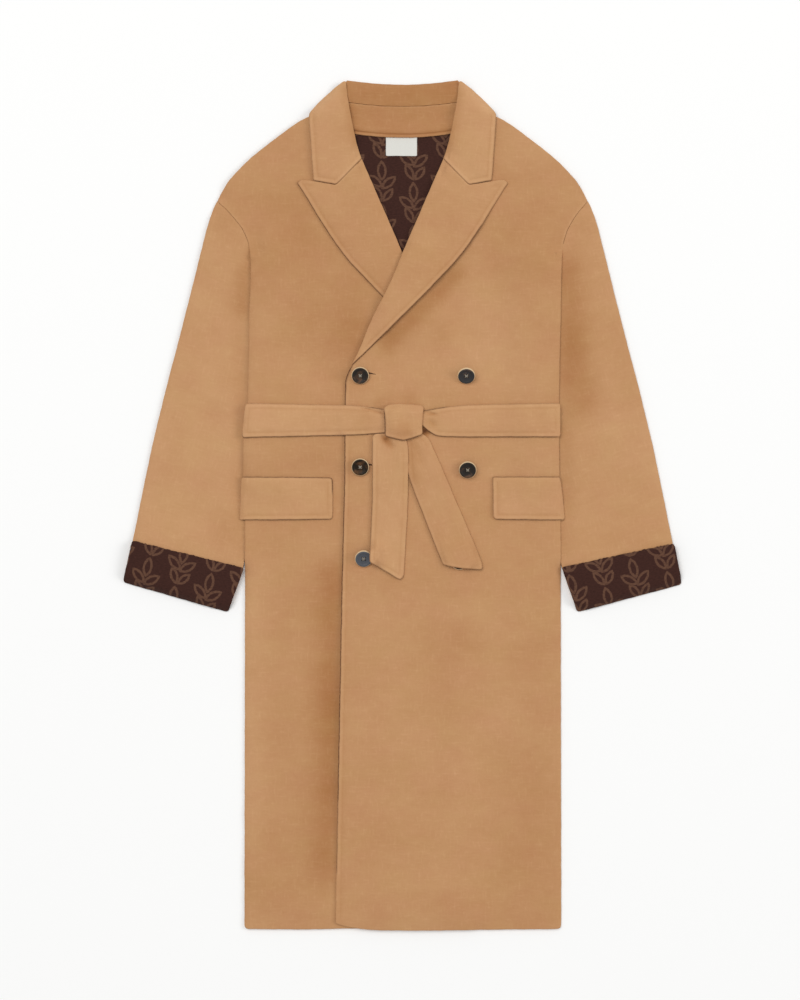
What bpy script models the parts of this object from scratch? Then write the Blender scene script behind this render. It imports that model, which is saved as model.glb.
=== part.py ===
"""A belted wool coat, laid flat on its back with the front up and the sleeves at its sides.

+X is the wearer's left, +Y runs up to the collar and +Z rises from the surface that the
coat lies on. The origin is on that surface, under the middle of the coat. Each cut piece is
a sheet of cloth, and the sheets are laid in turn on those that lie under them.
"""

import math
from collections import namedtuple

import bmesh
import bpy
import numpy as np
from mathutils import Vector
from mathutils.geometry import delaunay_2d_cdt

MM = 0.001

# Cloth, in millimetres
COATING = 2.4  # double-faced wool of the body, sleeves, collar and cuffs
INNER_FACE = 1.0
LABEL = 1.0
FLAP = 3.0
BELT = 3.6  # two layers of the coating, pressed
KNOT_EDGE = 5.0
KNOT_CROWN = 7.0

# Gaps and folds, in millimetres
SEAM = 0.5  # between two pieces that are sewn edge to edge
REST = 0.3  # between a piece and what it lies on
TURN = 9.0  # how far in from a folded edge the cloth starts to turn down
SHORT = 12.0  # how far the under layer stops short of a folded edge
LAP = 14.0  # how far a hidden edge runs on under the piece that covers it

# Spacing of the points of a sheet, in millimetres
PANEL_GRID = 56.0
TRIM_GRID = 26.0
LONGEST_EDGE = 70.0
ARC_STEP = math.radians(24)
FLAT_TURN = math.radians(9)
DIP_STEPS = 6
MOST_MITRE = 1.5

Corner = namedtuple("Corner", "x y soft")  # soft: how far from the corner its curve starts
SideRow = namedtuple("SideRow", "y left right soft")
Place = namedtuple("Place", "name x y tip")  # tip: how far the upper edge stands up, in degrees
Finish = namedtuple("Finish", "name colour roughness")
Rim = namedtuple("Rim", "radius height")
Dip = namedtuple("Dip", "half_width end middle")

CAMEL = Finish("camel_wool", (0.54, 0.30, 0.14), 0.9)
BROWN = Finish("dark_brown_inner_face", (0.058, 0.022, 0.014), 0.9)
WHITE = Finish("woven_label", (0.80, 0.78, 0.72), 0.8)
HORN = Finish("dark_horn", (0.022, 0.017, 0.012), 0.3)

# Half outlines in millimetres, drawn on the wearer's left. The right side mirrors them.
SHOULDER = [
    Corner(79, 581, 0),
    Corner(143, 562, 14),
    Corner(205, 515, 25),
    Corner(239, 486, 15),
    Corner(261, 457, 12),
    Corner(268, 440, 0),
]
# Armhole, then the side down to the hem: how far each side stands from the middle.
BODY_SIDE = [
    SideRow(425, 255, 252, 8),
    SideRow(406, 242, 236, 10),
    SideRow(390, 235, 225, 9),
    SideRow(370, 231, 221, 9),
    SideRow(338, 230, 219, 12),
    SideRow(276, 229, 222, 25),
    SideRow(154, 226, 223, 25),
    SideRow(94, 226, 228, 25),
    SideRow(-25, 229, 228, 40),
    SideRow(-614, 230, 229, 6),
]
UNDERARM_ROWS = 4  # the rows of BODY_SIDE where the sleeve is sewn in
HEMS = {
    "left": [Corner(20, -616, 60), Corner(-36, -615.5, 30), Corner(-70, -613, 15)],
    "right": [Corner(110, -615, 40)],
}
# The overlapping edge, from the hem up to the end of the lapel's fold.
FRONT_EDGE = [
    Corner(-97, -606, 4),
    Corner(-94, -431, 60),
    Corner(-88, -119, 60),
    Corner(-84, 39, 40),
    Corner(-83, 183, 9),
    Corner(-74, 201, 4),
]
LAPEL_FOLD = [
    Corner(-60, 229, 15),
    Corner(-47, 265, 15),
    Corner(-18, 319, 15),
    Corner(2, 370, 25),
]
GORGE = [
    Corner(59, 501, 0),
    Corner(78, 481, 8),
    Corner(96, 463, 3),
    Corner(129, 469, 2),
]
LAPEL_EDGE = [
    Corner(147, 471, 3),
    Corner(153, 466, 2),
    Corner(141, 448, 10),
    Corner(111, 398, 20),
    Corner(83, 358, 15),
    Corner(25, 297, 25),
    Corner(-62, 212, 10),
    Corner(-74, 201, 2),
]
LEAF_EDGE = [
    Corner(136, 566, 5),
    Corner(121, 584, 15),
    Corner(101, 602, 12),
    Corner(82, 616, 6),
    Corner(79, 585, 12),
    Corner(72, 549, 12),
    Corner(65, 516, 10),
]
# Lines across the back of the neck, which dip in the middle.
COLLAR_FOLD = Dip(half_width=80, end=615.5, middle=609)
COLLAR_FOLD_END = Corner(93, 603, 0)
STAND_SEAM = Dip(half_width=96, end=586, middle=577)
NECK_SEAM = Dip(half_width=84, end=539, middle=531)
SLEEVE_EDGE = [
    Corner(268.5, 440, 0),
    Corner(275, 428, 6),
    Corner(284, 399, 14),
    Corner(291, 370, 14),
    Corner(320, 254, 40),
    Corner(343, 167, 40),
    Corner(364, 80, 40),
    Corner(391, -53, 20),
]
SLEEVE_INNER = [Corner(230, -90, 8), Corner(225, -58, 12), Corner(189, 344, 10)]
SLEEVE_END = [Corner(400, -98, 4), Corner(248, -140, 4)]
CUFFS = {
    "left": [
        Corner(393, -55, 5),
        Corner(405, -115, 5),
        Corner(253, -155.5, 5),
        Corner(230, -90, 4),
    ],
    "right": [
        Corner(391, -51, 5),
        Corner(405, -112, 5),
        Corner(252.5, -155.5, 5),
        Corner(229, -91, 4),
    ],
}
FLAPS = {
    "left": [
        Corner(130, 41, 3),
        Corner(228, 41, 0),
        Corner(234, -5, 12),
        Corner(235, -22, 3),
        Corner(131, -21, 7),
    ],
    "right": [
        Corner(101, 40, 5),
        Corner(233, 41, 3),
        Corner(236, -22, 3),
        Corner(101, -21, 6),
    ],
}

# Tie belt in millimetres, in its own place across the coat
BELT_BACK = [Corner(216, 98, 0), Corner(216, 147, 0), Corner(-214, 147, 0), Corner(-214, 98, 0)]
BELT_RUN_LEFT = [
    Corner(28, 136, 3),
    Corner(83, 145, 40),
    Corner(228, 147, 4),
    Corner(228, 98, 4),
    Corner(45, 98, 14),
    Corner(25, 118, 4),
]
BELT_RUN_RIGHT = [
    Corner(-20, 137, 3),
    Corner(-62, 144, 25),
    Corner(-227, 147, 4),
    Corner(-232, 97, 4),
    Corner(-60, 101, 40),
    Corner(-20, 104, 3),
]
BELT_TAIL_LEFT = [
    Corner(4, 104, 0),
    Corner(26, 104, 2),
    Corner(38, 97, 5),
    Corner(56, 56, 25),
    Corner(115, -82, 6),
    Corner(116, -94, 4),
    Corner(86, -92, 15),
    Corner(58, -87, 4),
    Corner(9, 38, 6),
]
BELT_TAIL_RIGHT = [
    Corner(-40, 103, 3),
    Corner(-44, 98, 4),
    Corner(-44, 8, 40),
    Corner(-48, -82, 3),
    Corner(-3, -109, 4),
    Corner(2, -102, 4),
    Corner(8, 8, 40),
    Corner(9, 84, 8),
    Corner(2, 104, 2),
]
KNOT = [
    Corner(-28, 140, 4),
    Corner(-20, 145, 6),
    Corner(4, 147, 12),
    Corner(31, 143, 5),
    Corner(28, 116, 10),
    Corner(29, 101, 4),
    Corner(5, 93, 7),
    Corner(-1, 93, 4),
    Corner(-26, 99, 4),
    Corner(-25, 122, 10),
]

# Inner face and label in millimetres
NECK_OPENING = [
    Corner(84, 546, 0),
    Corner(70, 490, 10),
    Corner(12, 352, 8),
    Corner(-12, 352, 8),
    Corner(-70, 490, 10),
    Corner(-84, 546, 0),
    Corner(0, 536, 50),
]
NECK_LABEL = [Corner(-24, 535, 0), Corner(21, 535, 0), Corner(21, 505, 1), Corner(-24, 505, 1)]

# Buttons in millimetres
BUTTON_RADIUS = 12.7
BUTTON_FOOT = 11.0
BUTTON_SIDES = 18
BUTTON_PROFILE = [
    Rim(0.0, 2.4),
    Rim(7.4, 2.4),
    Rim(9.2, 3.9),
    Rim(11.4, 3.8),
    Rim(BUTTON_RADIUS, 2.2),
    Rim(BUTTON_FOOT, 0.0),
    Rim(0.0, 0.0),
]
BUTTONS = [
    Place("button_right_top", -61, 187, 16),
    Place("button_left_top", 92, 187, 30),
    Place("button_right_middle", -61, 55, 12),
    Place("button_left_middle", 94, 51, 18),
    Place("button_right_low", -56, -77, 20),
    Place("button_left_low", 82, -81, 0),
]


def mirrored(corners):
    return [corner._replace(x=-corner.x) for corner in corners]


def moved(corners, along=0.0, up=0.0):
    return [corner._replace(x=corner.x + along, y=corner.y + up) for corner in corners]


def dipped(dip):
    """The corners of a line across the back of the neck, from the wearer's left to their right."""
    shares = [1 - 2 * step / DIP_STEPS for step in range(DIP_STEPS + 1)]
    rise = dip.end - dip.middle
    return [Corner(dip.half_width * share, dip.middle + rise * share**2, 0) for share in shares]


def collar_fold_corners():
    return [COLLAR_FOLD_END] + dipped(COLLAR_FOLD) + mirrored([COLLAR_FOLD_END])


def on_side(corners, side):
    return corners if side == "left" else mirrored(corners)


def side_corners(side, inward=0.0, rows=BODY_SIDE):
    """The armhole and side edge as drawn on the wearer's left, moved in towards the middle."""
    return [Corner(getattr(row, side) - inward, row.y, row.soft) for row in rows]


def curved_corner(before, corner, after):
    """The corner's curve as points: none of the edges loses more than half of its length."""
    here = np.array([corner.x, corner.y], float)
    ways = [np.array([other.x, other.y]) - here for other in (before, after)]
    lengths = [np.linalg.norm(way) for way in ways]
    cosine = np.dot(ways[0], ways[1]) / (lengths[0] * lengths[1])
    turn = math.pi - math.acos(max(-1.0, min(1.0, cosine)))
    if not corner.soft or turn < FLAT_TURN:
        return [here]
    start, end = (
        here + way / length * min(corner.soft, 0.48 * length)
        for way, length in zip(ways, lengths)
    )
    steps = max(1, math.ceil(turn / ARC_STEP))
    curve = []
    for step in range(steps + 1):
        t = step / steps
        curve.append((1 - t) ** 2 * start + 2 * t * (1 - t) * here + t * t * end)
    return curve


def outline_of(corners):
    """The closed outline, anticlockwise, with its long straight edges split."""
    curve = []
    for before, corner, after in zip(corners[-1:] + corners[:-1], corners, corners[1:] + corners[:1]):
        curve += curved_corner(before, corner, after)
    points = []
    for here, following in zip(curve, curve[1:] + curve[:1]):
        parts = max(1, math.ceil(np.linalg.norm(following - here) / LONGEST_EDGE))
        points += [here + (following - here) * part / parts for part in range(parts)]
    points = np.array(points)
    ahead = np.roll(points, -1, axis=0)
    area = np.sum(points[:, 0] * ahead[:, 1] - ahead[:, 0] * points[:, 1])
    return points if area > 0 else points[::-1]


def edge_distance(points, outline):
    """How far each point is inside the outline, negative outside it."""
    start = outline[None, :, :]
    along = np.roll(outline, -1, axis=0)[None, :, :] - start
    reach = points[:, None, :] - start
    share = np.clip((reach * along).sum(2) / (along**2).sum(2), 0, 1)
    nearest = np.linalg.norm(reach - share[:, :, None] * along, axis=2).min(axis=1)
    end_y = start[:, :, 1] + along[:, :, 1]
    crosses = (start[:, :, 1] > points[:, None, 1]) != (end_y > points[:, None, 1])
    slope = along[:, :, 0] / np.where(along[:, :, 1] == 0, 1e-12, along[:, :, 1])
    crossing_x = start[:, :, 0] + (points[:, None, 1] - start[:, :, 1]) * slope
    inside = (crosses & (points[:, None, 0] < crossing_x)).sum(axis=1) % 2 == 1
    return np.where(inside, nearest, -nearest)


def inner_ring(outline, depth):
    """Points a fixed depth inside the outline, where a folded edge starts to turn down."""
    along = np.roll(outline, -1, axis=0) - outline
    normals = np.stack([-along[:, 1], along[:, 0]], axis=1)
    normals /= np.linalg.norm(normals, axis=1)[:, None]
    mean = normals + np.roll(normals, 1, axis=0)
    mean /= np.maximum(np.linalg.norm(mean, axis=1), 1e-9)[:, None]
    mitre = np.minimum(1 / np.maximum((mean * normals).sum(axis=1), 1e-9), MOST_MITRE)
    ring = outline + mean * (depth * mitre)[:, None]
    ring = ring[edge_distance(ring, outline) > 0.85 * depth]
    kept = []
    for point in ring:
        if all(np.linalg.norm(point - other) > 0.6 * depth for other in kept):
            kept.append(point)
    return np.array(kept).reshape(-1, 2)


def inner_grid(outline, spacing, clear):
    """Points in staggered rows, at least the clear distance inside the outline."""
    low, high = outline.min(axis=0), outline.max(axis=0)
    points = []
    for row, y in enumerate(np.arange(low[1] + spacing / 2, high[1], spacing * math.sqrt(0.75))):
        for x in np.arange(low[0] + spacing * (0.5 + 0.5 * (row % 2)), high[0], spacing):
            points.append((x, y))
    points = np.array(points).reshape(-1, 2)
    return points[edge_distance(points, outline) > clear] if len(points) else points


def filled(corners, spacing, turn):
    """The piece's flat shape as points and triangles, with a ring of points where it turns down."""
    outline = outline_of(corners)
    ring = inner_ring(outline, turn) if turn else np.empty((0, 2))
    grid = inner_grid(outline, spacing, turn + 0.45 * spacing)
    points = [Vector(point) for point in np.concatenate([outline, ring, grid])]
    found = delaunay_2d_cdt(points, [], [list(range(len(outline)))], 1, 1e-5)
    triangles = np.array(found[2])
    points = np.array(found[0])
    return points, triangles, np.maximum(edge_distance(points, outline), 0)


def shared_area(triangle, other):
    """The corners of the area where two anticlockwise triangles lie over each other."""
    area = list(triangle)
    for start, end in zip(other, np.roll(other, -1, axis=0)):
        along = end - start
        sides = [along[0] * (p[1] - start[1]) - along[1] * (p[0] - start[0]) for p in area]
        kept = []
        for i, here in enumerate(area):
            j = (i + 1) % len(area)
            if sides[i] >= 0:
                kept.append(here)
            if (sides[i] >= 0) != (sides[j] >= 0):
                kept.append(here + (area[j] - here) * (sides[i] / (sides[i] - sides[j])))
        area = kept
        if len(area) < 3:
            return []
    return area


class Pile:
    """The pieces laid so far, as the triangles of their upper faces."""

    def __init__(self, collection):
        self.collection = collection
        self.flat = np.empty((0, 3, 2))
        self.heights = np.empty((0, 3))

    def level(self, triangle):
        """The highest point of the pile under a triangle."""
        low, high = triangle.min(axis=0), triangle.max(axis=0)
        near = (self.flat.max(axis=1) > low).all(axis=1) & (self.flat.min(axis=1) < high).all(axis=1)
        level = 0.0
        for other, heights in zip(self.flat[near], self.heights[near]):
            if heights.max() <= level:
                continue
            frame = np.stack([other[1] - other[0], other[2] - other[0]])
            for point in shared_area(triangle, other):
                share = np.linalg.solve(frame.T, point - other[0])
                height = heights[0] + share @ (heights[1:] - heights[0])
                level = max(level, min(height, heights.max()))
        return level

    def add(self, points, triangles, heights):
        self.flat = np.concatenate([self.flat, points[triangles]])
        self.heights = np.concatenate([self.heights, heights[triangles]])

    def lay(self, name, corners, finish, thickness=COATING, spacing=PANEL_GRID, turn=0.0, crown=0.0):
        """Lay a sheet of cloth on the pile: each point lies clear of all that its faces cross."""
        points, triangles, inside = filled(corners, spacing, turn)
        under = np.zeros(len(points))
        for triangle in triangles:
            under[triangle] = np.maximum(under[triangle], self.level(points[triangle]))
        bottom = np.where(under > 0, under + REST, 0.0)
        rise = thickness + crown * np.sin(np.clip(inside / max(inside.max(), 1e-9), 0, 1) * math.pi / 2)
        self.add(points, triangles, bottom + rise)
        sheet = bmesh.new()
        rise_layer = sheet.verts.layers.float.new("rise")
        corners_made = []
        for (x, y), z, height in zip(points, bottom, rise):
            corners_made.append(sheet.verts.new((x * MM, y * MM, z * MM)))
            corners_made[-1][rise_layer] = height * MM
        for triangle in triangles:
            sheet.faces.new([corners_made[index] for index in triangle])
        raised = bmesh.ops.extrude_face_region(sheet, geom=sheet.faces[:])["geom"]
        for corner in raised:
            if isinstance(corner, bmesh.types.BMVert):
                corner.co.z += corner[rise_layer]
        bmesh.ops.recalc_face_normals(sheet, faces=sheet.faces[:])
        shape = bpy.data.meshes.new(name)
        sheet.to_mesh(shape)
        sheet.free()
        return self.place(name, shape, finish)

    def place(self, name, shape, finish, at=(0.0, 0.0, 0.0)):
        piece = bpy.data.objects.new(name, shape)
        piece.location = [value * MM for value in at]
        shape.materials.append(material_of(finish))
        self.collection.objects.link(piece)
        return piece

    def sew_button(self, place):
        """A turned button with a dished middle, its lower edge on the highest cloth under it."""
        angles = np.linspace(0, 2 * math.pi, BUTTON_SIDES, endpoint=False)
        disc = np.stack([np.cos(angles), np.sin(angles)], axis=1) * BUTTON_RADIUS + [place.x, place.y]
        fan = np.array([(0, i, i + 1) for i in range(1, BUTTON_SIDES - 1)])
        lift = BUTTON_FOOT * math.sin(math.radians(place.tip))
        seat = max(self.level(disc[triangle]) for triangle in fan) + REST + lift
        top = max(rim.height for rim in BUTTON_PROFILE) + lift
        self.add(disc, fan, np.full(BUTTON_SIDES, seat + top))
        profile = bpy.data.meshes.new(place.name)
        points = [(rim.radius * MM, 0, rim.height * MM) for rim in BUTTON_PROFILE]
        profile.from_pydata(points, [(i, i + 1) for i in range(len(points) - 1)], [])
        button = self.place(place.name, profile, HORN, (place.x, place.y, seat))
        button.rotation_euler.x = math.radians(place.tip)
        screw = button.modifiers.new("turned", "SCREW")
        screw.steps = screw.render_steps = BUTTON_SIDES
        screw.use_merge_vertices = True
        screw.merge_threshold = 0.0001
        return button


def material_of(finish):
    material = bpy.data.materials.get(finish.name)
    if material is None:
        material = bpy.data.materials.new(finish.name)
        material.use_nodes = True
        shader = material.node_tree.nodes["Principled BSDF"]
        shader.inputs["Base Color"].default_value = (*finish.colour, 1)
        shader.inputs["Roughness"].default_value = finish.roughness
        shader.inputs["Metallic"].default_value = 0.0
    return material


def front_corners(side):
    """A front from the neck round the shoulder, armhole, side, hem and edge to the lapel's fold."""
    fold = moved(LAPEL_FOLD + GORGE[:1], along=SHORT * 0.8)
    return on_side(SHOULDER + side_corners(side) + HEMS[side] + FRONT_EDGE + fold, side)


def back_corners():
    """The back, short of the folded shoulders and sides, and edge to edge with the sleeves."""
    half = {}
    for side in ("left", "right"):
        shoulder = [moved([c], along=-SHORT * 0.5, up=-SHORT * 0.9)[0] for c in SHOULDER[1:-1]]
        armhole = side_corners(side, rows=BODY_SIDE[:UNDERARM_ROWS])
        edge = side_corners(side, inward=SHORT, rows=BODY_SIDE[UNDERARM_ROWS:])
        half[side] = on_side([Corner(84, 560, 0)] + shoulder + armhole + edge, side)
    return half["left"] + half["right"][::-1] + dipped(NECK_SEAM)[::-1]


def sleeve_corners(side, inward):
    """A sleeve from its cap down to the cuff's fold, sewn to the armhole above the underarm."""
    cap = [moved([c], along=-inward)[0] for c in SLEEVE_EDGE]
    end = [moved([c], along=-inward)[0] for c in SLEEVE_END[:1]] + SLEEVE_END[1:]
    armhole = side_corners(side, inward=-SEAM, rows=BODY_SIDE[:UNDERARM_ROWS])
    return on_side(cap + end + SLEEVE_INNER + armhole[::-1], side)


def inset_cuff(side):
    """The cuff's under half, short of its folded edges."""
    corners = CUFFS[side]
    middle_x = sum(c.x for c in corners) / len(corners)
    middle_y = sum(c.y for c in corners) / len(corners)
    return [
        c._replace(
            x=c.x - math.copysign(SHORT, c.x - middle_x),
            y=c.y - math.copysign(SHORT, c.y - middle_y),
        )
        for c in corners
    ]


def lay_under_layers(pile):
    """What lies on the surface: the belt's back run, the collar's back leaf and the sleeves."""
    pile.lay("belt_back", BELT_BACK, CAMEL, BELT)
    back_leaf = moved(collar_fold_corners(), up=-SHORT) + moved(dipped(NECK_SEAM), up=-LAP)[::-1]
    pile.lay("collar_leaf_back", back_leaf, CAMEL, spacing=TRIM_GRID * 2)
    for side in ("left", "right"):
        pile.lay(f"cuff_{side}_under", on_side(inset_cuff(side), side), BROWN, spacing=TRIM_GRID * 2)
        pile.lay(f"sleeve_{side}_under", sleeve_corners(side, SHORT), CAMEL)
        pile.lay(f"sleeve_{side}_top", sleeve_corners(side, 0.0), CAMEL, turn=TURN)
        pile.lay(f"cuff_{side}_top", on_side(CUFFS[side], side), BROWN, spacing=TRIM_GRID, turn=TURN)


def lay_neck(pile):
    """The back, its inner face in the neck opening, the label and the inside of the collar."""
    pile.lay("back", back_corners(), CAMEL)
    pile.lay("back_inner_face", NECK_OPENING, BROWN, INNER_FACE, TRIM_GRID * 2)
    pile.lay("neck_label", NECK_LABEL, WHITE, LABEL, TRIM_GRID)
    stand = moved(dipped(STAND_SEAM), up=-SEAM) + dipped(NECK_SEAM)[::-1]
    pile.lay("collar_stand", stand, CAMEL, spacing=TRIM_GRID)
    fold = collar_fold_corners() + dipped(STAND_SEAM)[::-1]
    pile.lay("collar_fold", fold, CAMEL, spacing=TRIM_GRID, turn=TURN * 0.6)


def lay_fronts(pile):
    """The right front and its lapel, then the left ones over them, the collar leaves and flaps."""
    for side in ("right", "left"):
        pile.lay(f"front_{side}", front_corners(side), CAMEL, turn=TURN)
        lapel = moved(GORGE, up=-SEAM / 2) + LAPEL_EDGE + LAPEL_FOLD
        pile.lay(f"lapel_{side}", on_side(lapel, side), CAMEL, spacing=TRIM_GRID * 1.3, turn=TURN * 0.7)
    for side in ("right", "left"):
        leaf = moved(GORGE, up=SEAM / 2) + LEAF_EDGE
        pile.lay(f"collar_leaf_{side}", on_side(leaf, side), CAMEL, spacing=TRIM_GRID, turn=TURN * 0.7)
        pile.lay(f"pocket_flap_{side}", on_side(FLAPS[side], side), CAMEL, FLAP, TRIM_GRID)


def tie_belt(pile):
    """The belt's front runs, its two tails with the right one over the left, and the knot."""
    pile.lay("belt_run_right", BELT_RUN_RIGHT, CAMEL, BELT, TRIM_GRID)
    pile.lay("belt_run_left", BELT_RUN_LEFT, CAMEL, BELT, TRIM_GRID)
    pile.lay("belt_tail_left", BELT_TAIL_LEFT, CAMEL, BELT, TRIM_GRID)
    pile.lay("belt_tail_right", BELT_TAIL_RIGHT, CAMEL, BELT, TRIM_GRID)
    pile.lay("belt_knot", KNOT, CAMEL, KNOT_EDGE, TRIM_GRID / 3, crown=KNOT_CROWN)


def main():
    for old in list(bpy.data.objects):
        bpy.data.objects.remove(old)
    collection = bpy.data.collections.new("belted_coat")
    bpy.context.scene.collection.children.link(collection)
    pile = Pile(collection)
    lay_under_layers(pile)
    lay_neck(pile)
    lay_fronts(pile)
    for place in BUTTONS:
        pile.sew_button(place)
    tie_belt(pile)


main()
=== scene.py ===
"""The looks of a belted wool coat that lies flat with its front up.

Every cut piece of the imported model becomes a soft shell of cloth. Its outline is the solid's
own, eased, and it is draped in its turn over the pieces that lie under it. The buttons are
turned and bored, and sewn on with thread. Sizes are in millimetres until a mesh is made.
"""

import math
from collections import namedtuple

import bpy
import numpy as np
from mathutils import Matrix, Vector, kdtree
from mathutils.geometry import delaunay_2d_cdt


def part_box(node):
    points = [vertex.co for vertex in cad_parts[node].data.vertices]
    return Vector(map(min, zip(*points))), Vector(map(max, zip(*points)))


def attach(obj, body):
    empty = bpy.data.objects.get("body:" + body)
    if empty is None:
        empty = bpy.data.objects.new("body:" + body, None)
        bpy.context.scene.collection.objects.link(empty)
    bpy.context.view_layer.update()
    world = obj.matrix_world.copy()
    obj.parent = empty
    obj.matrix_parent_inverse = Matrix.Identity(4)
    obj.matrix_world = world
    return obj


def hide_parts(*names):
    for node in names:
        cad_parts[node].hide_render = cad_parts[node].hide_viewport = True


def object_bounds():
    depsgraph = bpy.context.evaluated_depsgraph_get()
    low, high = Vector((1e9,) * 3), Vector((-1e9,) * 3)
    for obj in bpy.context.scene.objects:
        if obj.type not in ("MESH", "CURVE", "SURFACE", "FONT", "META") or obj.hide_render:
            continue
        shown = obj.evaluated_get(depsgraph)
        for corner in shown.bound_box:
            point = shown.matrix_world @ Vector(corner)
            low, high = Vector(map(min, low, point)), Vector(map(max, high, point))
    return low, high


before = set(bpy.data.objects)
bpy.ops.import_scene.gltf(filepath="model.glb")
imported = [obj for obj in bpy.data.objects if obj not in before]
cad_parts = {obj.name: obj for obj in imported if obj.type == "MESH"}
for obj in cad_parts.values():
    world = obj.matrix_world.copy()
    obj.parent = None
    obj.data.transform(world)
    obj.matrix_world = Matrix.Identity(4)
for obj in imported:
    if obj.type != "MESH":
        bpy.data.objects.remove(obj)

MM = 0.001
cad_box = [list(corner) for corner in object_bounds()]

# Draping grid, in millimetres
CELL = 1.6
MARGIN = 40.0
REST = 0.3  # between a piece and what it lies on
SLACK = 2.5  # how much more slowly cloth comes down from a step away from its edges
UNEVEN_REACH = 26.0  # how broad the unevenness of lofted cloth is
UNEVEN_SHARE = 0.14  # how strong it is, as a share of the loft
THINNEST = 0.8  # what a groove leaves of a cloth's thickness, at the least
COVERED_SHARE = 0.04  # the least of a piece that has to lie on another for it to rest there
CREASE_FADE = 0.35  # the share of a crease's length over which each of its ends fades

# Spacing of the points of a piece, in millimetres
EDGE_STEP = 2.4
EDGE_ROWS = (0.3, 0.9, 1.9, 3.6)  # rows of points that follow the edge, where it rounds over
PRESSED_WIDTH = 1.3
BELT = 2.4
FINE = 3.4
PANEL = 6.0
HIDDEN = 18.0
ROW_KEPT = 0.9  # a point of a row is left out where an edge is nearer than this share of its inset
GRID_CLEAR = 0.55  # between the last row and the grid of points, as a share of their spacing

# Edges, in millimetres and radians
UPWARD = 0.02  # the least upward slant of a face on a solid's upper side
HARD_CORNER = math.radians(40)
SHARP_EDGE = math.radians(50)
EDGE_WANDER = 0.16  # how far a free edge strays from its line
EDGE_WAVES = (90.0, 41.0, 17.0)  # the lengths of the waves in it
SEWN = 0.25  # how far an edge reaches out to meet the one that it is sewn to
SEAM_CLEAR = 3.2  # how far in from a seam a piece takes no notice of the one it is sewn to
SEAM_REACH = 12.0  # how far in a seam holds the cloth down on what is right under it
# The dark at a cut edge is its brown inner face together with painted contact shadow.
DARK_EDGE_AND_SHADOW_REACH = 1.6  # how far in the dark of a cut edge reaches
RIM_FALL = 1.5  # how sharply that dark ends
# A pale band lies inside each dark edge: wear of the nap and a painted highlight where the rolled edge
# catches the light.
FAINTEST_RIM = 0.1  # the weakest dark rim that has a worn nap beside it
PALE_BAND_INSET = 3.4  # how far in from a free edge its nap is worn palest
PALE_BAND_WIDTH = 1.7
PALE_BAND_TONE = 0.22
LIFT_REACH = 9.0  # how far in a lifted edge bends up
FINISH_INSET = 7.0  # from an edge to the line where the seam inside it ends
# Painted shade in sunken folds and pressed lines, painted light on raised ones.
FOLD_PAINTED_SHADE = 0.12  # how much deeper the nap looks for each millimetre that a fold sinks
FOLD_RANGE = (-3, 1)  # the lowest and highest fold that changes it further
PRESS_PAINTED_SHADE = 0.7  # the same for a pressed line

# How far on in the cloth each next piece is cut, so that no two have the same clouds
CUT_ALONG = 377
CUT_ACROSS = 211

# Where the random draws of the cloth and of the buttons start
CLOTH_SEED = 100
BUTTON_SEED = 500

# thick: the cloth's own thickness. drape: how far it needs to come down from a step under it.
# loft: how far it stands up off what lies under it, and swell: how far in from its edges.
# grain: how far the cloth is turned, in degrees. tone: how pale the piece is drawn, from -1 to 1,
# partly the lie of its nap and partly painted light and painted shade.
# A flat piece has the plain values.
Cloth = namedtuple(
    "Cloth", "node finish thick spacing drape loft swell grain tone", defaults=[0.0, 9, 0, 0.0]
)
UNDER_LAYERS = [
    Cloth("belt_back", "camel", 3.6, HIDDEN, 4),
    Cloth("collar_leaf_back", "camel", 2.4, HIDDEN, 4),
    Cloth("cuff_left_under", "brown", 2.4, HIDDEN, 4, grain=14),
    Cloth("sleeve_left_under", "camel", 2.4, HIDDEN, 8, grain=14),
    Cloth("sleeve_left_top", "camel", 2.4, PANEL, 8, 1.8, 24, 14, 0.20),
    Cloth("cuff_left_top", "brown", 2.6, FINE, 6, 1.0, 12, 14.5, 0.0),
    Cloth("cuff_right_under", "brown", 2.4, HIDDEN, 4, grain=-14),
    Cloth("sleeve_right_under", "camel", 2.4, HIDDEN, 8, grain=-14),
    Cloth("sleeve_right_top", "camel", 2.4, PANEL, 8, 1.8, 24, -14, 0.35),
    Cloth("cuff_right_top", "brown", 2.6, FINE, 6, 1.0, 12, -14.5, 0.0),
    Cloth("back", "camel", 2.4, HIDDEN, 8),
    Cloth("back_inner_face", "brown", 1.0, FINE, 6),
    Cloth("neck_label", "label", 0.9, FINE, 3),
    # The collar's stand and fold are drawn darker: painted shade inside the collar.
    Cloth("collar_stand", "camel", 2.4, FINE, 4, 0.8, 8, 0, -0.45),
    Cloth("collar_fold", "camel", 2.4, FINE, 4, 0.8, 8, 0, -0.55),
]
UPPER_LAYERS = [
    Cloth("front_right", "camel", 2.4, PANEL, 8, 1.6, 28, 0, 0.05),
    Cloth("lapel_right", "camel", 2.2, FINE, 6, 1.4, 14, 4, 0.05),
    Cloth("front_left", "camel", 2.4, PANEL, 8, 1.6, 28, 0, 0.10),
    Cloth("lapel_left", "camel", 2.2, FINE, 6, 1.4, 14, -4, 0.25),
    Cloth("collar_leaf_right", "camel", 2.2, FINE, 6, 1.2, 12, 6, 0.40),
    Cloth("pocket_flap_right", "camel", 2.6, FINE, 4, 0.6, 10, 0, 0.4),
    Cloth("collar_leaf_left", "camel", 2.2, FINE, 6, 1.2, 12, -6, 0.50),
    Cloth("pocket_flap_left", "camel", 2.6, FINE, 4, 0.6, 10, 0, 0.35),
]
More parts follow.
